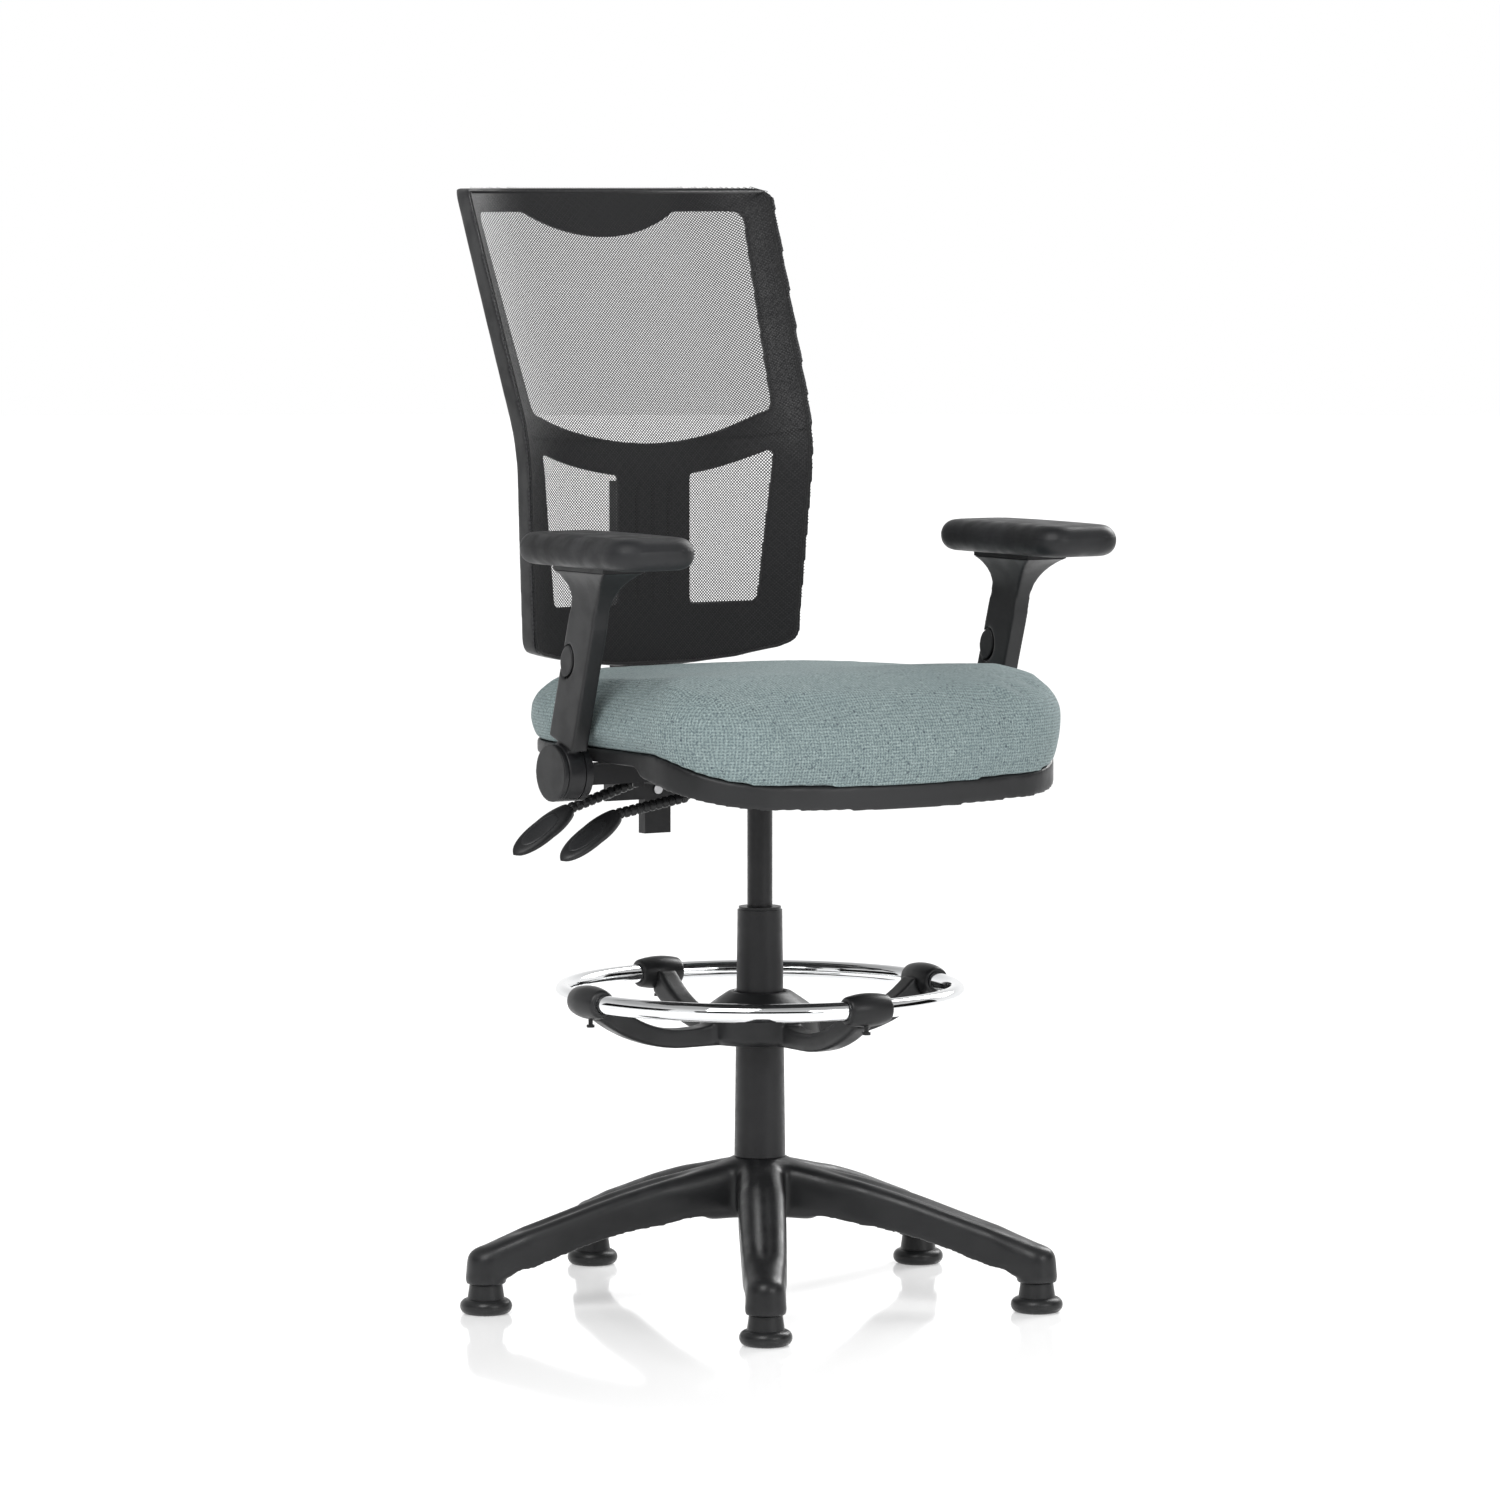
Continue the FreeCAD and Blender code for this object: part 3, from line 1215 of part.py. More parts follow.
def build_upright(side, name, x):
    """The T-shaped upright, flared under the pad, hollow for the neck, and its height button."""
    wide = P.upright_width / 2
    top = P.arm_pad_bottom_z - P.arm_plate_thickness
    rear_foot, rear_neck = along_rake(34, wide), along_rake(188, wide)
    front_foot, front_neck = along_rake(34, -wide), along_rake(176, -wide)
    profile = slab(f"{name}_side_view", "YZ_Plane", [
        rear_foot, rear_neck,
        ("arc", (-66, top - 11), (-54, top)),
        (-166, top),
        ("arc", (-136, top - 17), front_neck),
        front_foot,
    ], 60, both_ways=True, offset=x)
    half = P.upright_thickness / 2
    face = slab(f"{name}_front_view", "XZ_Plane", [
        (x - half, 600), (x + half, 600), (x + half, top - 48),
        ("arc", (x + half + 4.5, top - 18), (x + 26, top)),
        (x - 26, top),
        ("arc", (x - half - 4.5, top - 18), (x - half, top - 48)),
    ], 400, both_ways=True)
    solid = joined(f"{name}_upright_solid", "Part::Common", profile, face)
    gap = P.slide_gap
    inside = P.neck_width / 2 + gap
    bore = raked_block(f"{name}_upright_bore", x, P.neck_thickness + 2 * gap,
                       [(20, -inside), (155, -inside), (155, inside), (20, inside)])
    pocket = raked_block(f"{name}_button_pocket", x, 60, lens(124, 14.6, 20.3, 14.2))
    stand(joined(f"{name}_upright", "Part::Cut", solid,
                 joined(f"{name}_upright_space", "Part::Compound", bore, pocket)))
    oval = raked_block(f"{name}_button_oval", x, P.upright_thickness, lens(124, 15.8, 18.5, 12.5))
    clear = raked_block(f"{name}_button_clear", x, P.neck_thickness + 2 * gap,
                        [(100, 0), (150, 0), (150, inside + 3.0), (100, inside + 3.0)])
    stand(joined(f"{name}_button", "Part::Cut", oval, clear))


def build_pad(name, x):
    """The arm pad: a slab with broad corners and fully rounded edges."""
    half, length = P.arm_pad_width / 2, P.arm_pad_length / 2
    y = P.arm_pad_y
    pad_body = slab(f"{name}_pad", "XY_Plane", rectangle(x - half, y - length, x + half, y + length),
                    P.arm_pad_height, offset=P.arm_pad_bottom_z)
    soften(pad_body, 0 * x + 30.0, runs_along(2))
    low, high = P.arm_pad_bottom_z, P.arm_pad_bottom_z + P.arm_pad_height
    soften(pad_body, 0 * x + 16.5, lambda edge: lies_at(2, low)(edge) or lies_at(2, high)(edge))
    stand(pad_body)


def build_arms():
    """Both arms and the bolts that hold their bars."""
    for side, name in ((-1, "right_arm"), (1, "left_arm")):
        build_arm(side, name)
    stand(joined("arm_bolts", "Part::Compound", *[
        bolt(f"arm_bolt_{i}", bx, P.arm_hub_y, P.arm_hub_z - 14) for i, bx in enumerate(arm_bolt_places())]))


def finish():
    """Check every object of the document, then write each sub-part."""
    doc.recompute()
    for item in doc.Objects:
        if {"Invalid", "Error"} & set(item.State):
            raise RuntimeError(f"{item.Name} failed: {item.State}")
    os.makedirs("parts", exist_ok=True)
    labels = set()
    for piece in pieces:
        if piece.Shape.isNull() or not piece.Shape.isValid() or not piece.Shape.Solids:
            raise RuntimeError(f"{piece.Label} has no valid solid")
        if piece.Label in labels:
            raise RuntimeError(f"{piece.Label} is named twice")
        labels.add(piece.Label)
        piece.Shape.exportStep(f"parts/{piece.Label}.step")
        print(f"{piece.Label}: {len(piece.Shape.Solids)} solid(s), {piece.Shape.Volume / 1000:.1f} cm3")


build_base()
build_gas_lift()
build_foot_ring()
build_seat()
build_mechanism()
build_levers()
build_back()
build_back_support()
build_arms()
finish()
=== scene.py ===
import json
import math

import bmesh
import bpy
from mathutils import Matrix, Vector


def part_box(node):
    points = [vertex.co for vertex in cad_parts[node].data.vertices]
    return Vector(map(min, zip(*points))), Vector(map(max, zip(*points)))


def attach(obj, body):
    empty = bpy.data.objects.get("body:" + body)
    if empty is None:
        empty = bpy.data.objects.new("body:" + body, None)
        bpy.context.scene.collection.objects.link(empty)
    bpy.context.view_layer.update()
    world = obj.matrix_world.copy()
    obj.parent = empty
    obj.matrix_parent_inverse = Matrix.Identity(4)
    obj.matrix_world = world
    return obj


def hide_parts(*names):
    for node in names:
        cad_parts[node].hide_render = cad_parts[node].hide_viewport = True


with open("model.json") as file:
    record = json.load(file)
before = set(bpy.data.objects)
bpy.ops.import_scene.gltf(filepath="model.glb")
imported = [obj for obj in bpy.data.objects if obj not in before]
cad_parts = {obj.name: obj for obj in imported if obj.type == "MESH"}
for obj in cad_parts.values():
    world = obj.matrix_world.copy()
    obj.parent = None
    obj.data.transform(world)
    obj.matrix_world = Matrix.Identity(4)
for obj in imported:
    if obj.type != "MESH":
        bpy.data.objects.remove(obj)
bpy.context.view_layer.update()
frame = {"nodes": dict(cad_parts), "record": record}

NODES = frame["nodes"]

# The drafting chair's visual model. Metres, +Z up, the chair faces -Y; the column's axis is at COLUMN_Y.
COLUMN_Y = (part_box("gas_tube")[0][1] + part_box("gas_tube")[1][1]) / 2


# ---------------------------------------------------------------- materials


class Shader:
    """A material under construction: its node tree, its Principled shader and short ways to add nodes."""

    def __init__(self, name, color, roughness, metallic=0.0, specular=0.5):
        self.material = bpy.data.materials.new(name)
        self.material.use_nodes = True
        self.tree = self.material.node_tree
        self.main = self.tree.nodes["Principled BSDF"]
        self.main.inputs["Base Color"].default_value = (*color, 1)
        self.main.inputs["Roughness"].default_value = roughness
        self.main.inputs["Metallic"].default_value = metallic
        self.main.inputs["Specular IOR Level"].default_value = specular
        self.place = self.tree.nodes.new("ShaderNodeTexCoord").outputs["Object"]

    def link(self, source, target):
        self.tree.links.new(source, target)

    def node(self, kind, **settings):
        node = self.tree.nodes.new(f"ShaderNode{kind}")
        for key, value in settings.items():
            setattr(node, key, value)
        return node

    def math(self, operation, a, b=None, c=None):
        """The output of a Math node; its inputs are outputs of other nodes or numbers."""
        node = self.node("Math", operation=operation)
        for socket, value in zip(node.inputs, (a, b, c)):
            if value is None:
                continue
            if isinstance(value, (int, float)):
                socket.default_value = value
            else:
                self.link(value, socket)
        return node.outputs[0]

    def noise(self, scale, detail=3.0, stretch=(1, 1, 1), distortion=0.0):
        """Noise of a scale per metre, finer along the axes that stretch names."""
        mapping = self.node("Mapping")
        mapping.inputs["Scale"].default_value = stretch
        self.link(self.place, mapping.inputs["Vector"])
        noise = self.node("TexNoise")
        noise.inputs["Scale"].default_value = scale
        noise.inputs["Detail"].default_value = detail
        noise.inputs["Distortion"].default_value = distortion
        self.link(mapping.outputs[0], noise.inputs["Vector"])
        return noise.outputs[0]

    def spread(self, value, low, high, start=0.35, stop=0.65):
        """A value mapped smoothly from start..stop to low..high."""
        node = self.node("MapRange", interpolation_type="SMOOTHSTEP")
        self.link(value, node.inputs["Value"])
        for key, number in (("From Min", start), ("From Max", stop), ("To Min", low), ("To Max", high)):
            node.inputs[key].default_value = number
        return node.outputs[0]

    def ramp(self, value, *stops):
        """A colour ramp over (place, colour) stops."""
        node = self.node("ValToRGB")
        points = node.color_ramp.elements
        while len(points) < len(stops):
            points.new(0.5)
        for point, (place, color) in zip(points, stops):
            point.position = place
            point.color = (*color, 1)
        self.link(value, node.inputs["Fac"])
        return node.outputs["Color"]

    def mix(self, factor, a, b):
        """Two colours mixed by a value."""
        node = self.node("Mix", data_type="RGBA")
        for socket, value in ((node.inputs[0], factor), (node.inputs[6], a), (node.inputs[7], b)):
            if isinstance(value, tuple):
                socket.default_value = (*value, 1)
            else:
                self.link(value, socket)
        return node.outputs[2]

    def bump(self, height, distance, strength=1.0):
        """Bumps of a height texture, added over any bumps there already."""
        node = self.node("Bump")
        node.inputs["Distance"].default_value = distance
        node.inputs["Strength"].default_value = strength
        self.link(height, node.inputs["Height"])
        normal = self.main.inputs["Normal"]
        if normal.links:
            self.link(normal.links[0].from_socket, node.inputs["Normal"])
        self.link(node.outputs[0], normal)

    def color(self, source):
        self.link(source, self.main.inputs["Base Color"])

    def roughness(self, source):
        self.link(source, self.main.inputs["Roughness"])


def moulded_plastic(name, color, roughness, grain=0.00006, specular=0.3, netted=False):
    """Satin moulded plastic: fine grain, slow sink marks, uneven sheen and a trace of dust.

    Netted plastic has the net's cord pattern drawn tight over it wherever it faces the front; the pattern's
    lighter colour is painted sheen."""
    s = Shader(name, color, roughness, specular=specular)
    dust = s.noise(7.0, 5.0)
    pale = tuple(c * 1.35 + 0.004 for c in color)
    tone = s.mix(s.spread(dust, 0.0, 1.0), tuple(c * 0.85 for c in color), pale)
    if netted:
        where, facing = s.node("SeparateXYZ"), s.node("SeparateXYZ")
        s.link(s.place, where.inputs[0])
        s.link(s.node("TexCoord").outputs["Normal"], facing.inputs[0])
        across = s.math("SINE", s.math("MULTIPLY", where.outputs[0], 2 * math.pi / NET_REPEAT))
        along = s.math("SINE", s.math("MULTIPLY", where.outputs[2], 2 * math.pi / NET_REPEAT))
        net_cords_and_sheen = s.spread(s.math("MULTIPLY", across, along), 1.0, 0.0, -0.1, 0.45)
        net_cords_and_sheen = s.math("MULTIPLY", net_cords_and_sheen, s.spread(facing.outputs[1], 1.0, 0.0, -0.45, -0.2))
        # The cord pattern is the net's own; lightening it towards (0.034, 0.034, 0.036) is painted sheen on
        # the black net yarn.
        tone = s.mix(s.math("MULTIPLY", net_cords_and_sheen, 0.75), tone, (0.034, 0.034, 0.036))
        s.bump(net_cords_and_sheen, 0.0003, 0.7)
    s.color(tone)
    s.roughness(s.spread(s.noise(38.0, 4.0), roughness - 0.06, roughness + 0.07))
    s.bump(s.noise(11.0, 1.0), 0.0012, 0.25)
    s.bump(s.noise(1500.0, 2.0), grain)
    return s.material


def painted_metal(name, color, roughness):
    """Powder-coated steel: orange peel over an even dark coat."""
    s = Shader(name, color, roughness, specular=0.3)
    s.color(s.mix(s.spread(s.noise(16.0, 4.0), 0.0, 1.0), color, tuple(c * 1.25 for c in color)))
    s.roughness(s.spread(s.noise(120.0, 3.0), roughness - 0.05, roughness + 0.05))
    s.bump(s.noise(700.0, 2.0), 0.00005)
    return s.material


def bright_metal(name, color, roughness, stretch=(1, 1, 1)):
    """Plated or bare steel: faint polishing marks and a little handling haze."""
    s = Shader(name, color, roughness, metallic=1.0)
    s.roughness(s.spread(s.noise(24.0, 5.0), max(roughness - 0.02, 0.02), roughness + 0.05))
    s.bump(s.noise(420.0, 3.0, stretch), 0.000012)
    return s.material


def seat_cloth(name):
    """Heather seat cloth: a diagonal basket weave of blue-grey and sea-green yarns with dark flecks, and
    painted shade in the low places of the weave.
    """
    s = Shader(name, (0.25, 0.31, 0.31), 0.92, specular=0.25)
    s.main.inputs["Sheen Weight"].default_value = 0.12
    s.main.inputs["Sheen Roughness"].default_value = 0.45
    s.main.inputs["Sheen Tint"].default_value = (0.86, 0.95, 0.96, 1)
    where = s.node("SeparateXYZ")
    s.link(s.place, where.inputs[0])
    facing = s.node("SeparateXYZ")
    s.link(s.node("TexCoord").outputs["Normal"], facing.inputs[0])
    x, y, z = where.outputs
    nx, ny, nz = [s.math("ABSOLUTE", out) for out in facing.outputs]
    on_top = s.math("GREATER_THAN", nz, 0.68)
    on_side = s.math("MULTIPLY", s.math("GREATER_THAN", nx, ny), s.math("SUBTRACT", 1.0, on_top))

    def choose(mask, a, b):
        return s.math("ADD", s.math("MULTIPLY", mask, a),
                      s.math("MULTIPLY", s.math("SUBTRACT", 1.0, mask), b))

    wander = s.math("MULTIPLY", s.math("SUBTRACT", s.noise(60.0, 2.0), 0.5), 0.0012)
    u = s.math("ADD", choose(on_side, y, x), wander)
    v = s.math("ADD", choose(on_top, y, z), wander)
    turns = 2 * math.pi / YARN_PITCH
    a = s.math("MULTIPLY", s.math("ADD", u, v), turns * math.sqrt(0.5))
    b = s.math("MULTIPLY", s.math("SUBTRACT", u, v), turns * math.sqrt(0.5))
    woven = s.math("MULTIPLY", s.math("SINE", a), s.math("SINE", b))
    lifted = s.math("MULTIPLY_ADD", woven, 0.5, 0.5)
    yarn = s.noise(520.0, 3.0, distortion=0.4)
    tone = s.ramp(yarn, (0.30, (0.060, 0.082, 0.095)), (0.42, (0.165, 0.212, 0.216)),
                  (0.55, (0.225, 0.282, 0.280)), (0.72, (0.34, 0.405, 0.395)))
    broad = s.noise(9.0, 3.0)
    tone = s.mix(s.spread(broad, 0.0, 0.25, 0.3, 0.7), tone, (0.17, 0.225, 0.235))
    # Painted shade: the colour darkens towards (0.07, 0.092, 0.096) where the weave sits low, as shade
    # between the yarns.
    tone_with_painted_shade = s.mix(s.spread(lifted, 0.62, 0.0, 0.05, 0.7), tone, (0.07, 0.092, 0.096))
    fleck = s.node("TexVoronoi")
    fleck.inputs["Scale"].default_value = 230.0
    s.link(s.place, fleck.inputs["Vector"])
    picked = s.node("SeparateColor")
    s.link(fleck.outputs["Color"], picked.inputs[0])
    dark = s.math("MULTIPLY", s.math("GREATER_THAN", picked.outputs[0], 0.93),
                  s.math("LESS_THAN", fleck.outputs["Distance"], 0.34))
    s.color(s.mix(s.math("MULTIPLY", dark, 0.7), tone_with_painted_shade, (0.035, 0.045, 0.06)))
    s.bump(s.noise(26.0, 2.0), 0.0010, 0.35)
    s.bump(lifted, 0.00045, 0.8)
    s.bump(yarn, 0.00020, 0.6)
    return s.material


def net_cloth(name):
    """Black polyester net yarn with a soft sheen."""
    s = Shader(name, (0.007, 0.007, 0.0075), 0.6, specular=0.3)
    s.main.inputs["Sheen Weight"].default_value = 0.15
    s.roughness(s.spread(s.noise(400.0, 2.0), 0.5, 0.75))
    s.color(s.mix(s.noise(900.0, 2.0), (0.004, 0.004, 0.0045), (0.013, 0.013, 0.014)))
    return s.material


def plywood(name):
    """Pale plywood with stretched grain."""
    s = Shader(name, (0.55, 0.40, 0.25), 0.7)
    s.color(s.ramp(s.noise(9.0, 6.0, (1, 14, 30)), (0.35, (0.42, 0.28, 0.16)), (0.65, (0.66, 0.50, 0.32))))
    s.bump(s.noise(40.0, 5.0, (1, 12, 20)), 0.0003)
    return s.material


def arm_skin(name):
    """Self-skinned soft foam of the arm pads: fine leather-like grain, nearly matt."""
    s = Shader(name, (0.010, 0.0105, 0.0115), 0.5, specular=0.3)
    s.color(s.mix(s.spread(s.noise(12.0, 4.0), 0.0, 1.0), (0.008, 0.0083, 0.009), (0.015, 0.0155, 0.017)))
    s.roughness(s.spread(s.noise(50.0, 4.0), 0.42, 0.56))
    pebble = s.node("TexVoronoi", feature="SMOOTH_F1")
    pebble.inputs["Scale"].default_value = 1100.0
    s.link(s.place, pebble.inputs["Vector"])
    s.bump(pebble.outputs["Distance"], 0.00012, 0.5)
    return s.material


YARN_PITCH = 0.0048
NET_REPEAT = 0.0050
BLACK = (0.0105, 0.0108, 0.0115)
MATERIALS = {
    "black_plastic": moulded_plastic("black_plastic", BLACK, 0.40),
    "base_plastic": moulded_plastic("base_plastic", BLACK, 0.36),
    "back_plastic": moulded_plastic("back_plastic", (0.0085, 0.0088, 0.0095), 0.46, 0.00009, netted=True),
    "glide_plastic": moulded_plastic("glide_plastic", (0.0100, 0.0103, 0.0108), 0.34),
    "badge_plastic": moulded_plastic("badge_plastic", (0.016, 0.0165, 0.0175), 0.30),
    "pale_nylon": moulded_plastic("pale_nylon", (0.62, 0.62, 0.60), 0.4),
    "painted_steel": painted_metal("painted_steel", (0.0105, 0.0105, 0.0115), 0.38),
    "chrome": bright_metal("chrome", (0.86, 0.87, 0.88), 0.05),
    "steel": bright_metal("steel", (0.50, 0.50, 0.51), 0.32, (1, 1, 6)),
    "seat_fabric": seat_cloth("seat_fabric"),
    "mesh_fabric": net_cloth("mesh_fabric"),
    "plywood": plywood("plywood"),
    "soft_pad": arm_skin("soft_pad"),
    "card": Shader("card", (0.005, 0.005, 0.005), 1.0, specular=0.0).material,
}


# ---------------------------------------------------------------- mesh helpers


def new_piece(name, mesh, body, material, slot, *replaced):
    """A finished mesh as a piece of the model, riding on a body."""
    piece = bpy.data.objects.new(name, mesh)
    bpy.context.scene.collection.objects.link(piece)
    mesh.materials.clear()
    mesh.materials.append(MATERIALS[material])
    mesh.shade_smooth()
    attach(piece, body)
    if replaced:
        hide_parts(*replaced)
    return piece


def mesh_from(bm, name):
    """A mesh made from a bmesh."""
    bmesh.ops.recalc_face_normals(bm, faces=bm.faces)
    mesh = bpy.data.meshes.new(name)
    bm.to_mesh(mesh)
    bm.free()
    return mesh


def settled(mesh, *steps):
    """The mesh after a row of modifiers: each step is (type, settings)."""
    holder = bpy.data.objects.new("holder", mesh)
    bpy.context.scene.collection.objects.link(holder)
    for kind, settings in steps:
        modifier = holder.modifiers.new(kind, kind)
        for key, value in settings.items():
            setattr(modifier, key, value)
    graph = bpy.context.evaluated_depsgraph_get()
    result = bpy.data.meshes.new_from_object(holder.evaluated_get(graph))
    bpy.data.objects.remove(holder)
    return result


def remeshed(mesh, voxel, rounds, factor=0.5):
    """The mesh rebuilt in even voxels and smoothed, which rounds its edges as a mould does."""
    return settled(mesh, ("REMESH", {"mode": "VOXEL", "voxel_size": voxel}),
                   ("SMOOTH", {"factor": factor, "iterations": rounds}))


def joined_mesh(*names):
    """One mesh with a copy of every named CAD node."""
    bm = bmesh.new()
    for name in names:
        bm.from_mesh(NODES[name].data)
    mesh = bpy.data.meshes.new("joined")
    bm.to_mesh(mesh)
    bm.free()
    return mesh


def body_of_node(node):
    """The name of the body that holds a CAD node."""
    bodies = frame["record"]["behaviour"]["bodies"]
    return next(body for body, nodes in bodies.items() if node in nodes)


def slot_of_node(node):
    """The record's material slot of a CAD node."""
    return next(part["material_slot"] for part in frame["record"]["subparts"] if part["node"] == node)


def reshape(mesh, shape):
    """Move every vertex as shape(place, normal) says, with the normals taken before any has moved."""
    normals = [vertex.normal.copy() for vertex in mesh.vertices]
    for vertex, normal in zip(mesh.vertices, normals):
        vertex.co = shape(vertex.co.copy(), normal)


def moulded(node, voxel, rounds, material=None, shape=None, factor=0.5):
    """A moulded copy of a CAD node: even mesh, rounded edges, and an optional last reshaping."""
    mesh = remeshed(joined_mesh(node), voxel, rounds, factor)
    if shape:
        reshape(mesh, shape)
    slot = slot_of_node(node)
    return new_piece(f"{node}_moulded", mesh, body_of_node(node), material or slot, slot, node)


def smoothstep(value, start, stop):
    """0 before start, 1 after stop, smooth between."""
    t = min(max((value - start) / (stop - start), 0.0), 1.0)
    return t * t * (3 - 2 * t)


# ---------------------------------------------------------------- base


FIRST_LEG = math.radians(-30.85)


def shape_leg(co, normal):
    """Two soft ridges with a shallow channel between them along the top of each leg."""
    x, y = co.x, co.y - COLUMN_Y
    radius = math.hypot(x, y)
    angle = math.atan2(x, -y) - FIRST_LEG
    step = 2 * math.pi / 5
    angle -= step * round(angle / step)
    across = radius * math.sin(angle)
    if normal.z > 0.25 and radius > 0.05:
        along = smoothstep(radius, 0.055, 0.11) * (1 - smoothstep(radius, 0.255, 0.305))
        co.z -= 0.0034 * math.exp(-((across / 0.0085) ** 2)) * along * normal.z
    return co


def build_base():
    """The star base and its hub as one smooth moulding."""
    mesh = remeshed(joined_mesh("star_base"), 0.0022, 14)
    holder = bpy.data.objects.new("hub_blend", mesh)
    group = holder.vertex_groups.new(name="hub")
    for vertex in mesh.vertices:
        radius = math.hypot(vertex.co.x, vertex.co.y - COLUMN_Y)
        outside = smoothstep(radius, 0.029, 0.033)
        weight = outside * (1 - smoothstep(radius, 0.085, 0.125))
        tip = smoothstep(radius, 0.27, 0.30) * smoothstep(vertex.co.z, 0.040, 0.050)
        group.add([vertex.index], max(weight, tip), "REPLACE")
    bpy.context.scene.collection.objects.link(holder)
    for rounds in (60, 60):
        modifier = holder.modifiers.new("soften", "SMOOTH")
        modifier.factor = 0.5
        modifier.iterations = rounds
        modifier.vertex_group = "hub"
    graph = bpy.context.evaluated_depsgraph_get()
    smooth = bpy.data.meshes.new_from_object(holder.evaluated_get(graph))
    bpy.data.objects.remove(holder)
    reshape(smooth, shape_leg)
    new_piece("star_base_moulded", smooth, "base", "base_plastic", "black_plastic", "star_base")


# ---------------------------------------------------------------- seat


def build_cushion():
    """The seat cushion: foam blown up under its cover, crowned on top and full at its front edge."""
    mesh = remeshed(joined_mesh("seat_cushion"), 0.0045, 8)
    low, high = [Vector(corner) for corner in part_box("seat_cushion")]
    centre = (low + high) / 2

    def full(co, normal):
        rise = (co.z - deck_height(co.y)) / (high.z - deck_height(co.y))
        side = Vector(((co.x - centre.x) / (high.x - low.x), (co.y - centre.y) / (high.y - low.y)))
        if co.z > centre.z:
            co.z -= 0.004 * smoothstep(side.length, 0.25, 0.5)
        out = 0.008 * math.sin(math.pi * min(max(rise, 0.0), 1.0)) - 0.009 * smoothstep(rise, 0.55, 1.0)
        return co + (out - 0.004) * Vector((normal.x, normal.y, 0))

    reshape(mesh, full)
    piece = new_piece("seat_cushion_foam", mesh, "seat", "seat_fabric", "seat_fabric", "seat_cushion")
    rest = [vertex.co.copy() for vertex in mesh.vertices]
    pinned = piece.vertex_groups.new(name="held")
    for i, vertex in enumerate(mesh.vertices):
        seam = 1 - smoothstep(vertex.co.z - deck_height(vertex.co.y), 0.003, 0.012)
        if seam > 0:
            pinned.add([i], seam, "REPLACE")
    blown = simulate(piece, rest)
    for vertex, point in zip(piece.data.vertices, blown):
        vertex.co = point
    crown(piece.data)
    piece.data.update()
    piece.vertex_groups.clear()
    smooth = piece.modifiers.new("smooth", "SMOOTH")
    smooth.iterations = 4
    surface = piece.modifiers.new("surface", "SUBSURF")
    surface.levels = 1
    surface.render_levels = 1


def deck_height(y):
    """The height of the pan's upper edge at a distance along the seat."""
    front = y - COLUMN_Y
    if front > -0.150:
        return 0.631
    if front > -0.233:
        return 0.6175 + 0.0135 * smoothstep(front, -0.245, -0.150)
    return 0.593 + 0.0245 * (front + 0.323) / 0.090


SWELL_LIMIT, AIR_PRESSURE, CLOTH_FRAMES = 0.007, 4.0, 16


def simulate(piece, rest):
    """The cover's points after a short cloth run with air pressure inside, none moved too far."""
    cloth = piece.modifiers.new("cloth", "CLOTH")
    settings = cloth.settings
    settings.use_pressure = True
    settings.uniform_pressure_force = AIR_PRESSURE
    settings.quality = 6
    settings.tension_stiffness = 12
    settings.compression_stiffness = 12
    settings.bending_stiffness = 3.0
    settings.vertex_group_mass = "held"
    settings.effector_weights.gravity = 0
    cloth.point_cache.frame_start = 1
    cloth.point_cache.frame_end = CLOTH_FRAMES
    scene = bpy.context.scene
    for number in range(1, CLOTH_FRAMES + 1):
        scene.frame_set(number)
    graph = bpy.context.evaluated_depsgraph_get()
    result = piece.evaluated_get(graph).to_mesh()
    points = []
    for start, vertex in zip(rest, result.vertices):
        step = vertex.co - start
        if step.length > SWELL_LIMIT:
            step *= SWELL_LIMIT / step.length
        points.append(start + step)
    piece.evaluated_get(graph).to_mesh_clear()
    piece.modifiers.remove(cloth)
    scene.frame_set(1)
    return points


def crown(mesh):
    """Dish the sitting area a little and keep the cover within its own space."""
    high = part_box("seat_cushion")[1][2]

    def dished(co, normal):
        if normal.z > 0.5:
            co.z -= 0.004 * math.exp(-((co.x / 0.16) ** 2) - (((co.y - COLUMN_Y - 0.02) / 0.13) ** 2))
        co.z = min(co.z, high + 0.004)
        return co

    reshape(mesh, dished)


# ---------------------------------------------------------------- back

KINK_Z, KINK_RADIUS, BACK_Y = 0.909, 0.160, COLUMN_Y + 0.224
LEAN = math.radians(24.8)
FLAT_HALF, WRAP_RADIUS = 0.095, 0.129


def back_point(x, height, forward=0.0):
    """A point ahead of the back's front face: x across, height along the face from the kink's start."""
    over = max(abs(x) - FLAT_HALF, 0.0)
    ahead = WRAP_RADIUS - math.sqrt(WRAP_RADIUS**2 - over**2) + forward
    if height <= 0:
        return Vector((x, BACK_Y - ahead, KINK_Z + height))
    turn = min(height / KINK_RADIUS, LEAN)
    rest = max(height - KINK_RADIUS * LEAN, 0.0)
    arm = KINK_RADIUS + ahead
    y = BACK_Y + KINK_RADIUS - arm * math.cos(turn) + rest * math.sin(turn)
    z = KINK_Z + arm * math.sin(turn) + rest * math.cos(turn)
    return Vector((x, y, z))


# The back's half width at each height.
HALF_WIDTHS = ((0.695, 0.0), (0.704, 0.110), (0.7142, 0.160), (0.7205, 0.1725), (0.731, 0.1765),
               (0.836, 0.1832), (0.941, 0.1895), (1.08, 0.1953), (1.222, 0.202), (1.232, 0.1985),
               (1.236, 0.188))


def half_width(z):
    """The back's half width at a height, seen from the front."""
    for (z0, w0), (z1, w1) in zip(HALF_WIDTHS, HALF_WIDTHS[1:]):
        if z0 <= z <= z1:
            return w0 + (w1 - w0) * (z - z0) / (z1 - z0)
    return 0.0


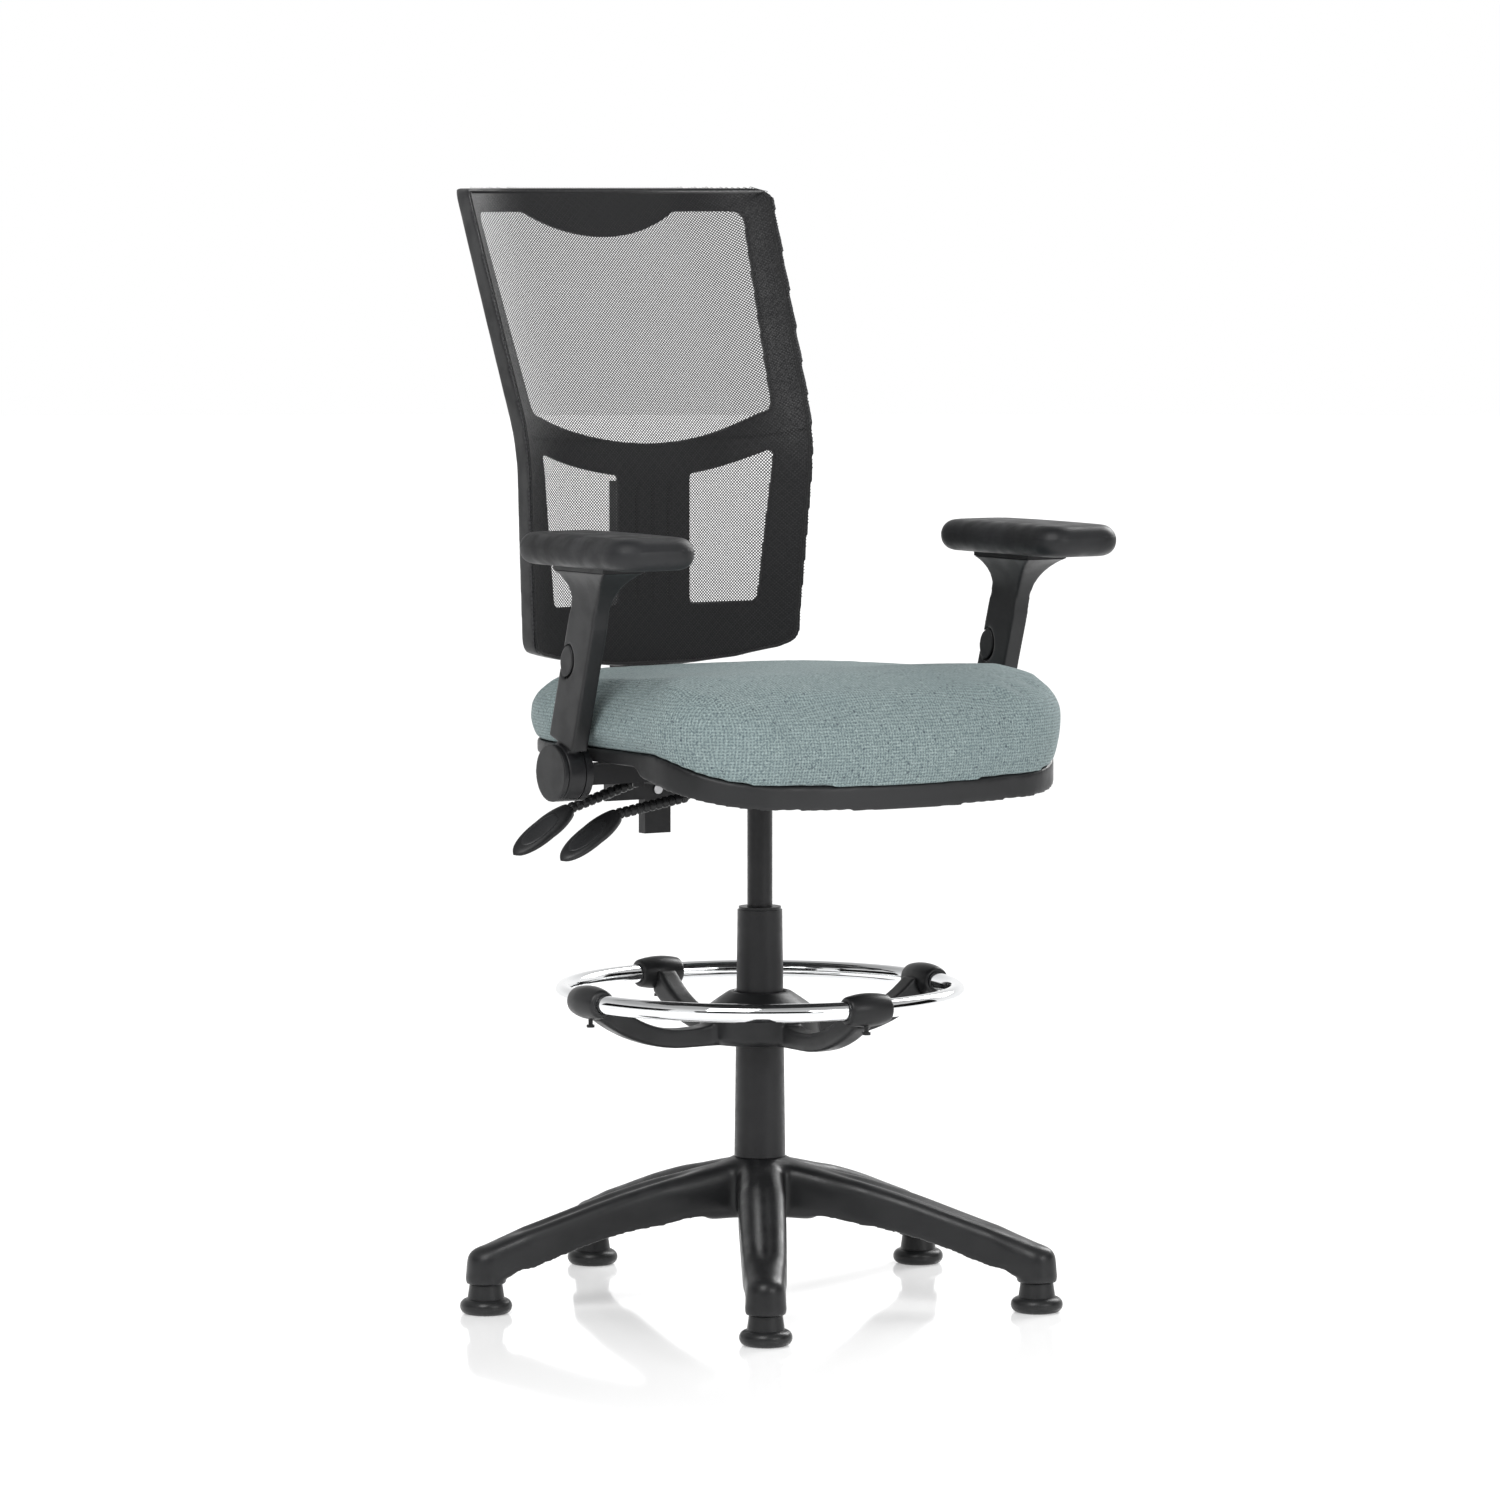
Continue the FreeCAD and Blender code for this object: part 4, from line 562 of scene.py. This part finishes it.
def net_mesh(name, lowest, highest, pitch, hole):
    """A net of diamonds over the back's face between two heights; hole is the opening's share."""
    bm = bmesh.new()
    corners = {}
    step = pitch / 2

    def point(i, j):
        return bm.verts.new(back_point(i * step, j * step, NET_LIFT))

    def corner(i, j):
        if (i, j) not in corners:
            corners[i, j] = point(i, j)
        return corners[i, j]

    first, last = math.floor(lowest / step), math.ceil(highest / step)
    across = math.ceil(NET_REACH / step)
    for j in range(first, last):
        for i in range(-across, across + 1):
            if (i + j) % 2 == 0:
                continue
            middle = back_point(i * step, j * step)
            if abs(middle.x) > half_width(middle.z) - NET_INSET:
                continue
            around = ((i + 1, j), (i, j + 1), (i - 1, j), (i, j - 1))
            outer = [corner(*place) for place in around]
            inner = [point(i + hole * (a - i), j + hole * (b - j)) for a, b in around]
            for k in range(4):
                bm.faces.new((outer[k], outer[(k + 1) % 4], inner[(k + 1) % 4], inner[k]))
    return mesh_from(bm, name)


NET_PITCH, NET_HOLE = 0.0036, 0.62
NET_REACH, NET_INSET, NET_LIFT = 0.204, 0.0025, 0.0010


def build_net():
    """The stretched net in two pieces that meet on the lumbar bar, and the rolled edge round it."""
    for name, lowest, highest in (("back_net_lower", -0.214, 0.0432), ("back_net_upper", 0.0432, 0.356)):
        mesh = net_mesh(name, lowest, highest, NET_PITCH, NET_HOLE)
        piece = new_piece(name, mesh, "back", "mesh_fabric", "mesh_fabric", "back_mesh")
    build_edge()


def outline_points(inset, count=200):
    """Points round the back's face, inset from its edge, as (x, height along the face)."""
    points = []
    top, bottom = 1.236 - inset, 0.695 + inset
    for k in range(count + 1):
        z = bottom + (top - bottom) * 0.5 * (1 - math.cos(math.pi * k / count))
        points.append((max(half_width(z) - inset, 0.0), z))
    right = [(x, face_height(z, x)) for x, z in points]
    return right + [(-x, h) for x, h in reversed(right)]


def face_height(z, x):
    """The height along the face of the point at a level z, at a distance x from the middle."""
    low, high = -0.25, 0.42
    for _ in range(40):
        middle = (low + high) / 2
        if back_point(x, middle).z < z:
            low = middle
        else:
            high = middle
    return (low + high) / 2


def tube_along(points, radius, name):
    """A closed tube through points."""
    curve = bpy.data.curves.new(name, "CURVE")
    curve.dimensions = "3D"
    curve.bevel_depth = radius
    curve.bevel_resolution = 2
    spline = curve.splines.new("POLY")
    spline.points.add(len(points) - 1)
    for point, place in zip(spline.points, points):
        point.co = (*place, 1)
    spline.use_cyclic_u = True
    holder = bpy.data.objects.new(name, curve)
    mesh = bpy.data.meshes.new_from_object(holder)
    bpy.data.objects.remove(holder)
    bpy.data.curves.remove(curve)
    return mesh


def build_edge():
    """The net's rolled edge, let into the frame just inside its rim."""
    rolled = [back_point(x, h, 0.0006) for x, h in outline_points(0.0045)]
    new_piece("back_net_edge", tube_along(rolled, 0.0017, "edge"), "back", "mesh_fabric", "mesh_fabric")


RIB_X, RIB_LOW, RIB_HIGH = (-0.021, 0.0, 0.021), 0.770, 0.904


def shape_frame(co, normal):
    """Three upright grooves in the strip between the lower windows."""
    if normal.y < -0.5 and abs(co.x) < 0.045 and RIB_LOW - 0.01 < co.z < RIB_HIGH + 0.01:
        ends = smoothstep(co.z, RIB_LOW, RIB_LOW + 0.006) * (1 - smoothstep(co.z, RIB_HIGH - 0.006, RIB_HIGH))
        depth = max(1 - smoothstep(abs(co.x - x), 0.0022, 0.0048) for x in RIB_X)
        co.y += 0.0045 * depth * ends
    return co


# ---------------------------------------------------------------- levers


def leaf_section(t):
    """A leaf's half width and half thickness at a share of its length, as shares of the full halves."""
    if t < 0.5:
        wide = 0.40 + 0.60 * math.sin(math.pi * min(t * 1.18, 1.0) ** 0.9) ** 0.8
    else:
        wide = max(1.0 - ((t - 0.5) / 0.5) ** 2.4, 0.0) ** 0.62
    tip = max(1 - ((t - 0.86) / 0.14) ** 2, 0.0) ** 0.5 if t > 0.86 else 1
    return wide, (1 - 0.55 * t**1.6) * tip


def leaf_mesh(length, width, thickness, name):
    """A leaf-shaped paddle along +Z with its flat face towards +X, as a closed smooth form."""
    bm = bmesh.new()
    stations, sides = 22, 20
    rings = []
    for k in range(stations + 1):
        t = k / stations
        wide, thick = leaf_section(t)
        half, deep = width / 2 * wide, thickness / 2 * thick
        ring = []
        for i in range(sides):
            a = 2 * math.pi * i / sides
            c, s = math.cos(a), math.sin(a)
            px = deep * math.copysign(abs(c) ** 0.75, c)
            py = max(half, 0.0002) * math.copysign(abs(s) ** 0.85, s)
            ring.append(bm.verts.new((px, py, t * length)))
        rings.append(ring)
    for low, high in zip(rings, rings[1:]):
        for i in range(sides):
            bm.faces.new((low[i], low[(i + 1) % sides], high[(i + 1) % sides], high[i]))
    bm.faces.new(rings[0])
    bm.faces.new(rings[-1])
    return mesh_from(bm, name)


PADDLE_TURN, PADDLE_TWIST = math.radians(-123), math.radians(-32)


def build_paddles():
    """Both levers' paddles, each with a smoother panel raised on its face."""
    for name, which in (("height_lever", 0), ("back_lever", 1)):
        low, high = [Vector(corner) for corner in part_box(f"{name}_paddle")]
        y = (low.y + high.y) / 2
        turn = Matrix.Rotation(PADDLE_TURN, 4, "Y") @ Matrix.Rotation(PADDLE_TWIST, 4, "Z")
        start = Vector((-0.186, y, (0.5525, 0.5505)[which]))
        mesh = leaf_mesh(0.088, 0.031, 0.0145, f"{name}_leaf")
        mesh.transform(Matrix.Translation(start) @ turn)
        leaf = settled(mesh, ("SUBSURF", {"levels": 2, "render_levels": 2}))
        new_piece(f"{name}_paddle_shaped", leaf, name, "black_plastic", "black_plastic", f"{name}_paddle")
        panel = leaf_mesh(0.054, 0.0195, 0.0034, f"{name}_panel")
        panel.transform(Matrix.Translation(start) @ turn @ Matrix.Translation((0.0058, 0, 0.020))
                        @ Matrix.Rotation(math.radians(-1.6), 4, "Y"))
        new_piece(f"{name}_panel", settled(panel, ("SUBSURF", {"levels": 1, "render_levels": 1})),
                  name, "badge_plastic", "black_plastic")


# ---------------------------------------------------------------- arms


def build_arms():
    """Uprights, buttons, caps and pads of both arms."""
    for name in ("right_arm", "left_arm"):
        moulded(f"{name}_upright", 0.0014, 14)
        moulded(f"{name}_button", 0.0008, 6)
        moulded(f"{name}_hub_cap", 0.0011, 6)
        moulded(f"{name}_neck", 0.0014, 5)
        low, high = [Vector(corner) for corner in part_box(f"{name}_pad")]
        centre = (low + high) / 2

        def soft(co, normal, centre=centre, low=low, high=high):
            along = (co.y - centre.y) / (high.y - low.y) * 2
            across = (co.x - centre.x) / (high.x - low.x) * 2
            if normal.z > 0.2:
                co.z += 0.0016 * (1 - across**2) * (1 - along**2) - 0.0012
            return co

        pad = moulded(f"{name}_pad", 0.0022, 34, "soft_pad", soft)


# ---------------------------------------------------------------- what stays as it is

BEVELED = ("mechanism_housing", "mechanism_plate", "back_bracket", "back_post", "back_spine",
           "right_arm_bracket", "left_arm_bracket")


# Nodes that show another material than the record's slot names.
SHOWN_AS = {
    "back_spine": "back_plastic",
    "guide_bush": "black_plastic",
    "ring_clamp_screws": "painted_steel",
    "back_lever_rod": "painted_steel",
    "height_lever_rod": "painted_steel",
    "arm_bolts": "painted_steel",
}


def dress_nodes():
    """Materials for every CAD node that still shows, and eased edges on the folded metal ones."""
    for name, node in NODES.items():
        material = SHOWN_AS.get(name, slot_of_node(name))
        node.data.materials.clear()
        node.data.materials.append(MATERIALS[material])
        if name in BEVELED:
            bevel = node.modifiers.new("eased", "BEVEL")
            bevel.width = 0.0008
            bevel.segments = 2
            bevel.limit_method = "ANGLE"
            bevel.angle_limit = math.radians(40)


# ---------------------------------------------------------------- studio


def area_light(name, place, target, size, power):
    """A rectangular softbox that faces a point."""
    light = bpy.data.lights.new(name, "AREA")
    light.shape = "RECTANGLE"
    light.size, light.size_y = size
    light.energy = power
    lamp = bpy.data.objects.new(name, light)
    lamp.location = place
    lamp.rotation_euler = (Vector(target) - Vector(place)).to_track_quat("-Z", "Y").to_euler()
    bpy.context.scene.collection.objects.link(lamp)


# Black cards out of the picture, which give the chrome and the gloss their dark edges: place, target, size.
DARK_CARDS = {
    "card_front": ((-4.4, -7.0, 2.3), (0, 0, 0.5), (12.0, 3.0)),
    "card_left": ((-5.5, 1.6, 1.9), (0, 0, 0.6), (5.0, 2.2)),
    "card_right": ((4.6, -2.6, 1.9), (0, 0, 0.6), (4.6, 2.2)),
    "card_above": ((0.4, 0.6, 4.6), (0, 0, 0.4), (4.6, 1.8)),
}


def dark_card(name, place, target, size):
    """A black card that faces a point."""
    bm = bmesh.new()
    bmesh.ops.create_grid(bm, x_segments=1, y_segments=1, size=0.5)
    mesh = mesh_from(bm, name)
    mesh.materials.append(MATERIALS["card"])
    card = bpy.data.objects.new(name, mesh)
    card.location = place
    card.scale = (*size, 1)
    card.rotation_euler = (Vector(target) - Vector(place)).to_track_quat("-Z", "Y").to_euler()
    bpy.context.scene.collection.objects.link(card)
    card.visible_camera = False
    card.visible_diffuse = False
    card.visible_shadow = False


def build_studio():
    """A pale glossy floor, white surroundings that darken overhead, the dark cards and three softboxes."""
    bm = bmesh.new()
    bmesh.ops.create_circle(bm, cap_ends=True, segments=96, radius=30.0)
    floor_mesh = mesh_from(bm, "floor")
    floor = bpy.data.objects.new("studio_floor", floor_mesh)
    bpy.context.scene.collection.objects.link(floor)
    s = Shader("studio_floor", (0.93, 0.93, 0.93), 0.07, specular=0.5)
    s.main.inputs["Emission Color"].default_value = (1, 1, 1, 1)
    s.main.inputs["Emission Strength"].default_value = 0.30
    floor_mesh.materials.append(s.material)
    world = bpy.data.worlds.new("studio")
    world.use_nodes = True
    tree = world.node_tree
    split = tree.nodes.new("ShaderNodeSeparateXYZ")
    tree.links.new(tree.nodes.new("ShaderNodeTexCoord").outputs["Generated"], split.inputs[0])
    fade = tree.nodes.new("ShaderNodeMapRange")
    for key, number in (("From Min", 0.15), ("From Max", 0.75), ("To Min", 1.0), ("To Max", 0.4)):
        fade.inputs[key].default_value = number
    tree.links.new(split.outputs[2], fade.inputs["Value"])
    tree.links.new(fade.outputs[0], tree.nodes["Background"].inputs["Color"])
    for name, (place, target, size) in DARK_CARDS.items():
        dark_card(name, place, target, size)
    bpy.context.scene.world = world
    area_light("key", (-2.6, -2.2, 3.4), (0, 0, 0.7), (1.8, 2.6), 120)
    area_light("rim", (3.0, 1.0, 2.6), (0, 0, 0.8), (1.4, 2.4), 90)
    area_light("front", (0.8, -4.2, 1.8), (0, 0, 0.6), (2.2, 1.2), 40)
    bpy.context.scene.view_settings.view_transform = "Standard"


CAMERA_DISTANCE, CAMERA_HEIGHT, CAMERA_LENS = 7.83415, 1.2434, 169.89
CAMERA_TURN, CAMERA_PITCH, CAMERA_YAW = math.radians(32), 0.0801, 0.0014


def build_camera():
    """The camera at the photograph's place and angle."""
    data = bpy.data.cameras.new("camera")
    data.lens = CAMERA_LENS
    data.sensor_width = 36
    data.clip_end = 100
    camera = bpy.data.objects.new("camera", data)
    camera.location = (-CAMERA_DISTANCE * math.sin(CAMERA_TURN),
                       COLUMN_Y - CAMERA_DISTANCE * math.cos(CAMERA_TURN), CAMERA_HEIGHT)
    camera.rotation_euler = (math.pi / 2 - CAMERA_PITCH, 0, -CAMERA_TURN + CAMERA_YAW)
    bpy.context.scene.collection.objects.link(camera)
    bpy.context.scene.camera = camera


build_camera()
build_studio()
dress_nodes()
build_base()
build_cushion()
moulded("seat_pan", 0.0020, 14)
moulded("footring_spider", 0.0018, 14, "base_plastic")
for number in range(1, 5):
    moulded(f"ring_clamp_{number}", 0.0011, 6, "base_plastic")
moulded("back_frame", 0.0018, 14, "back_plastic", shape_frame)
build_net()
build_paddles()
build_arms()
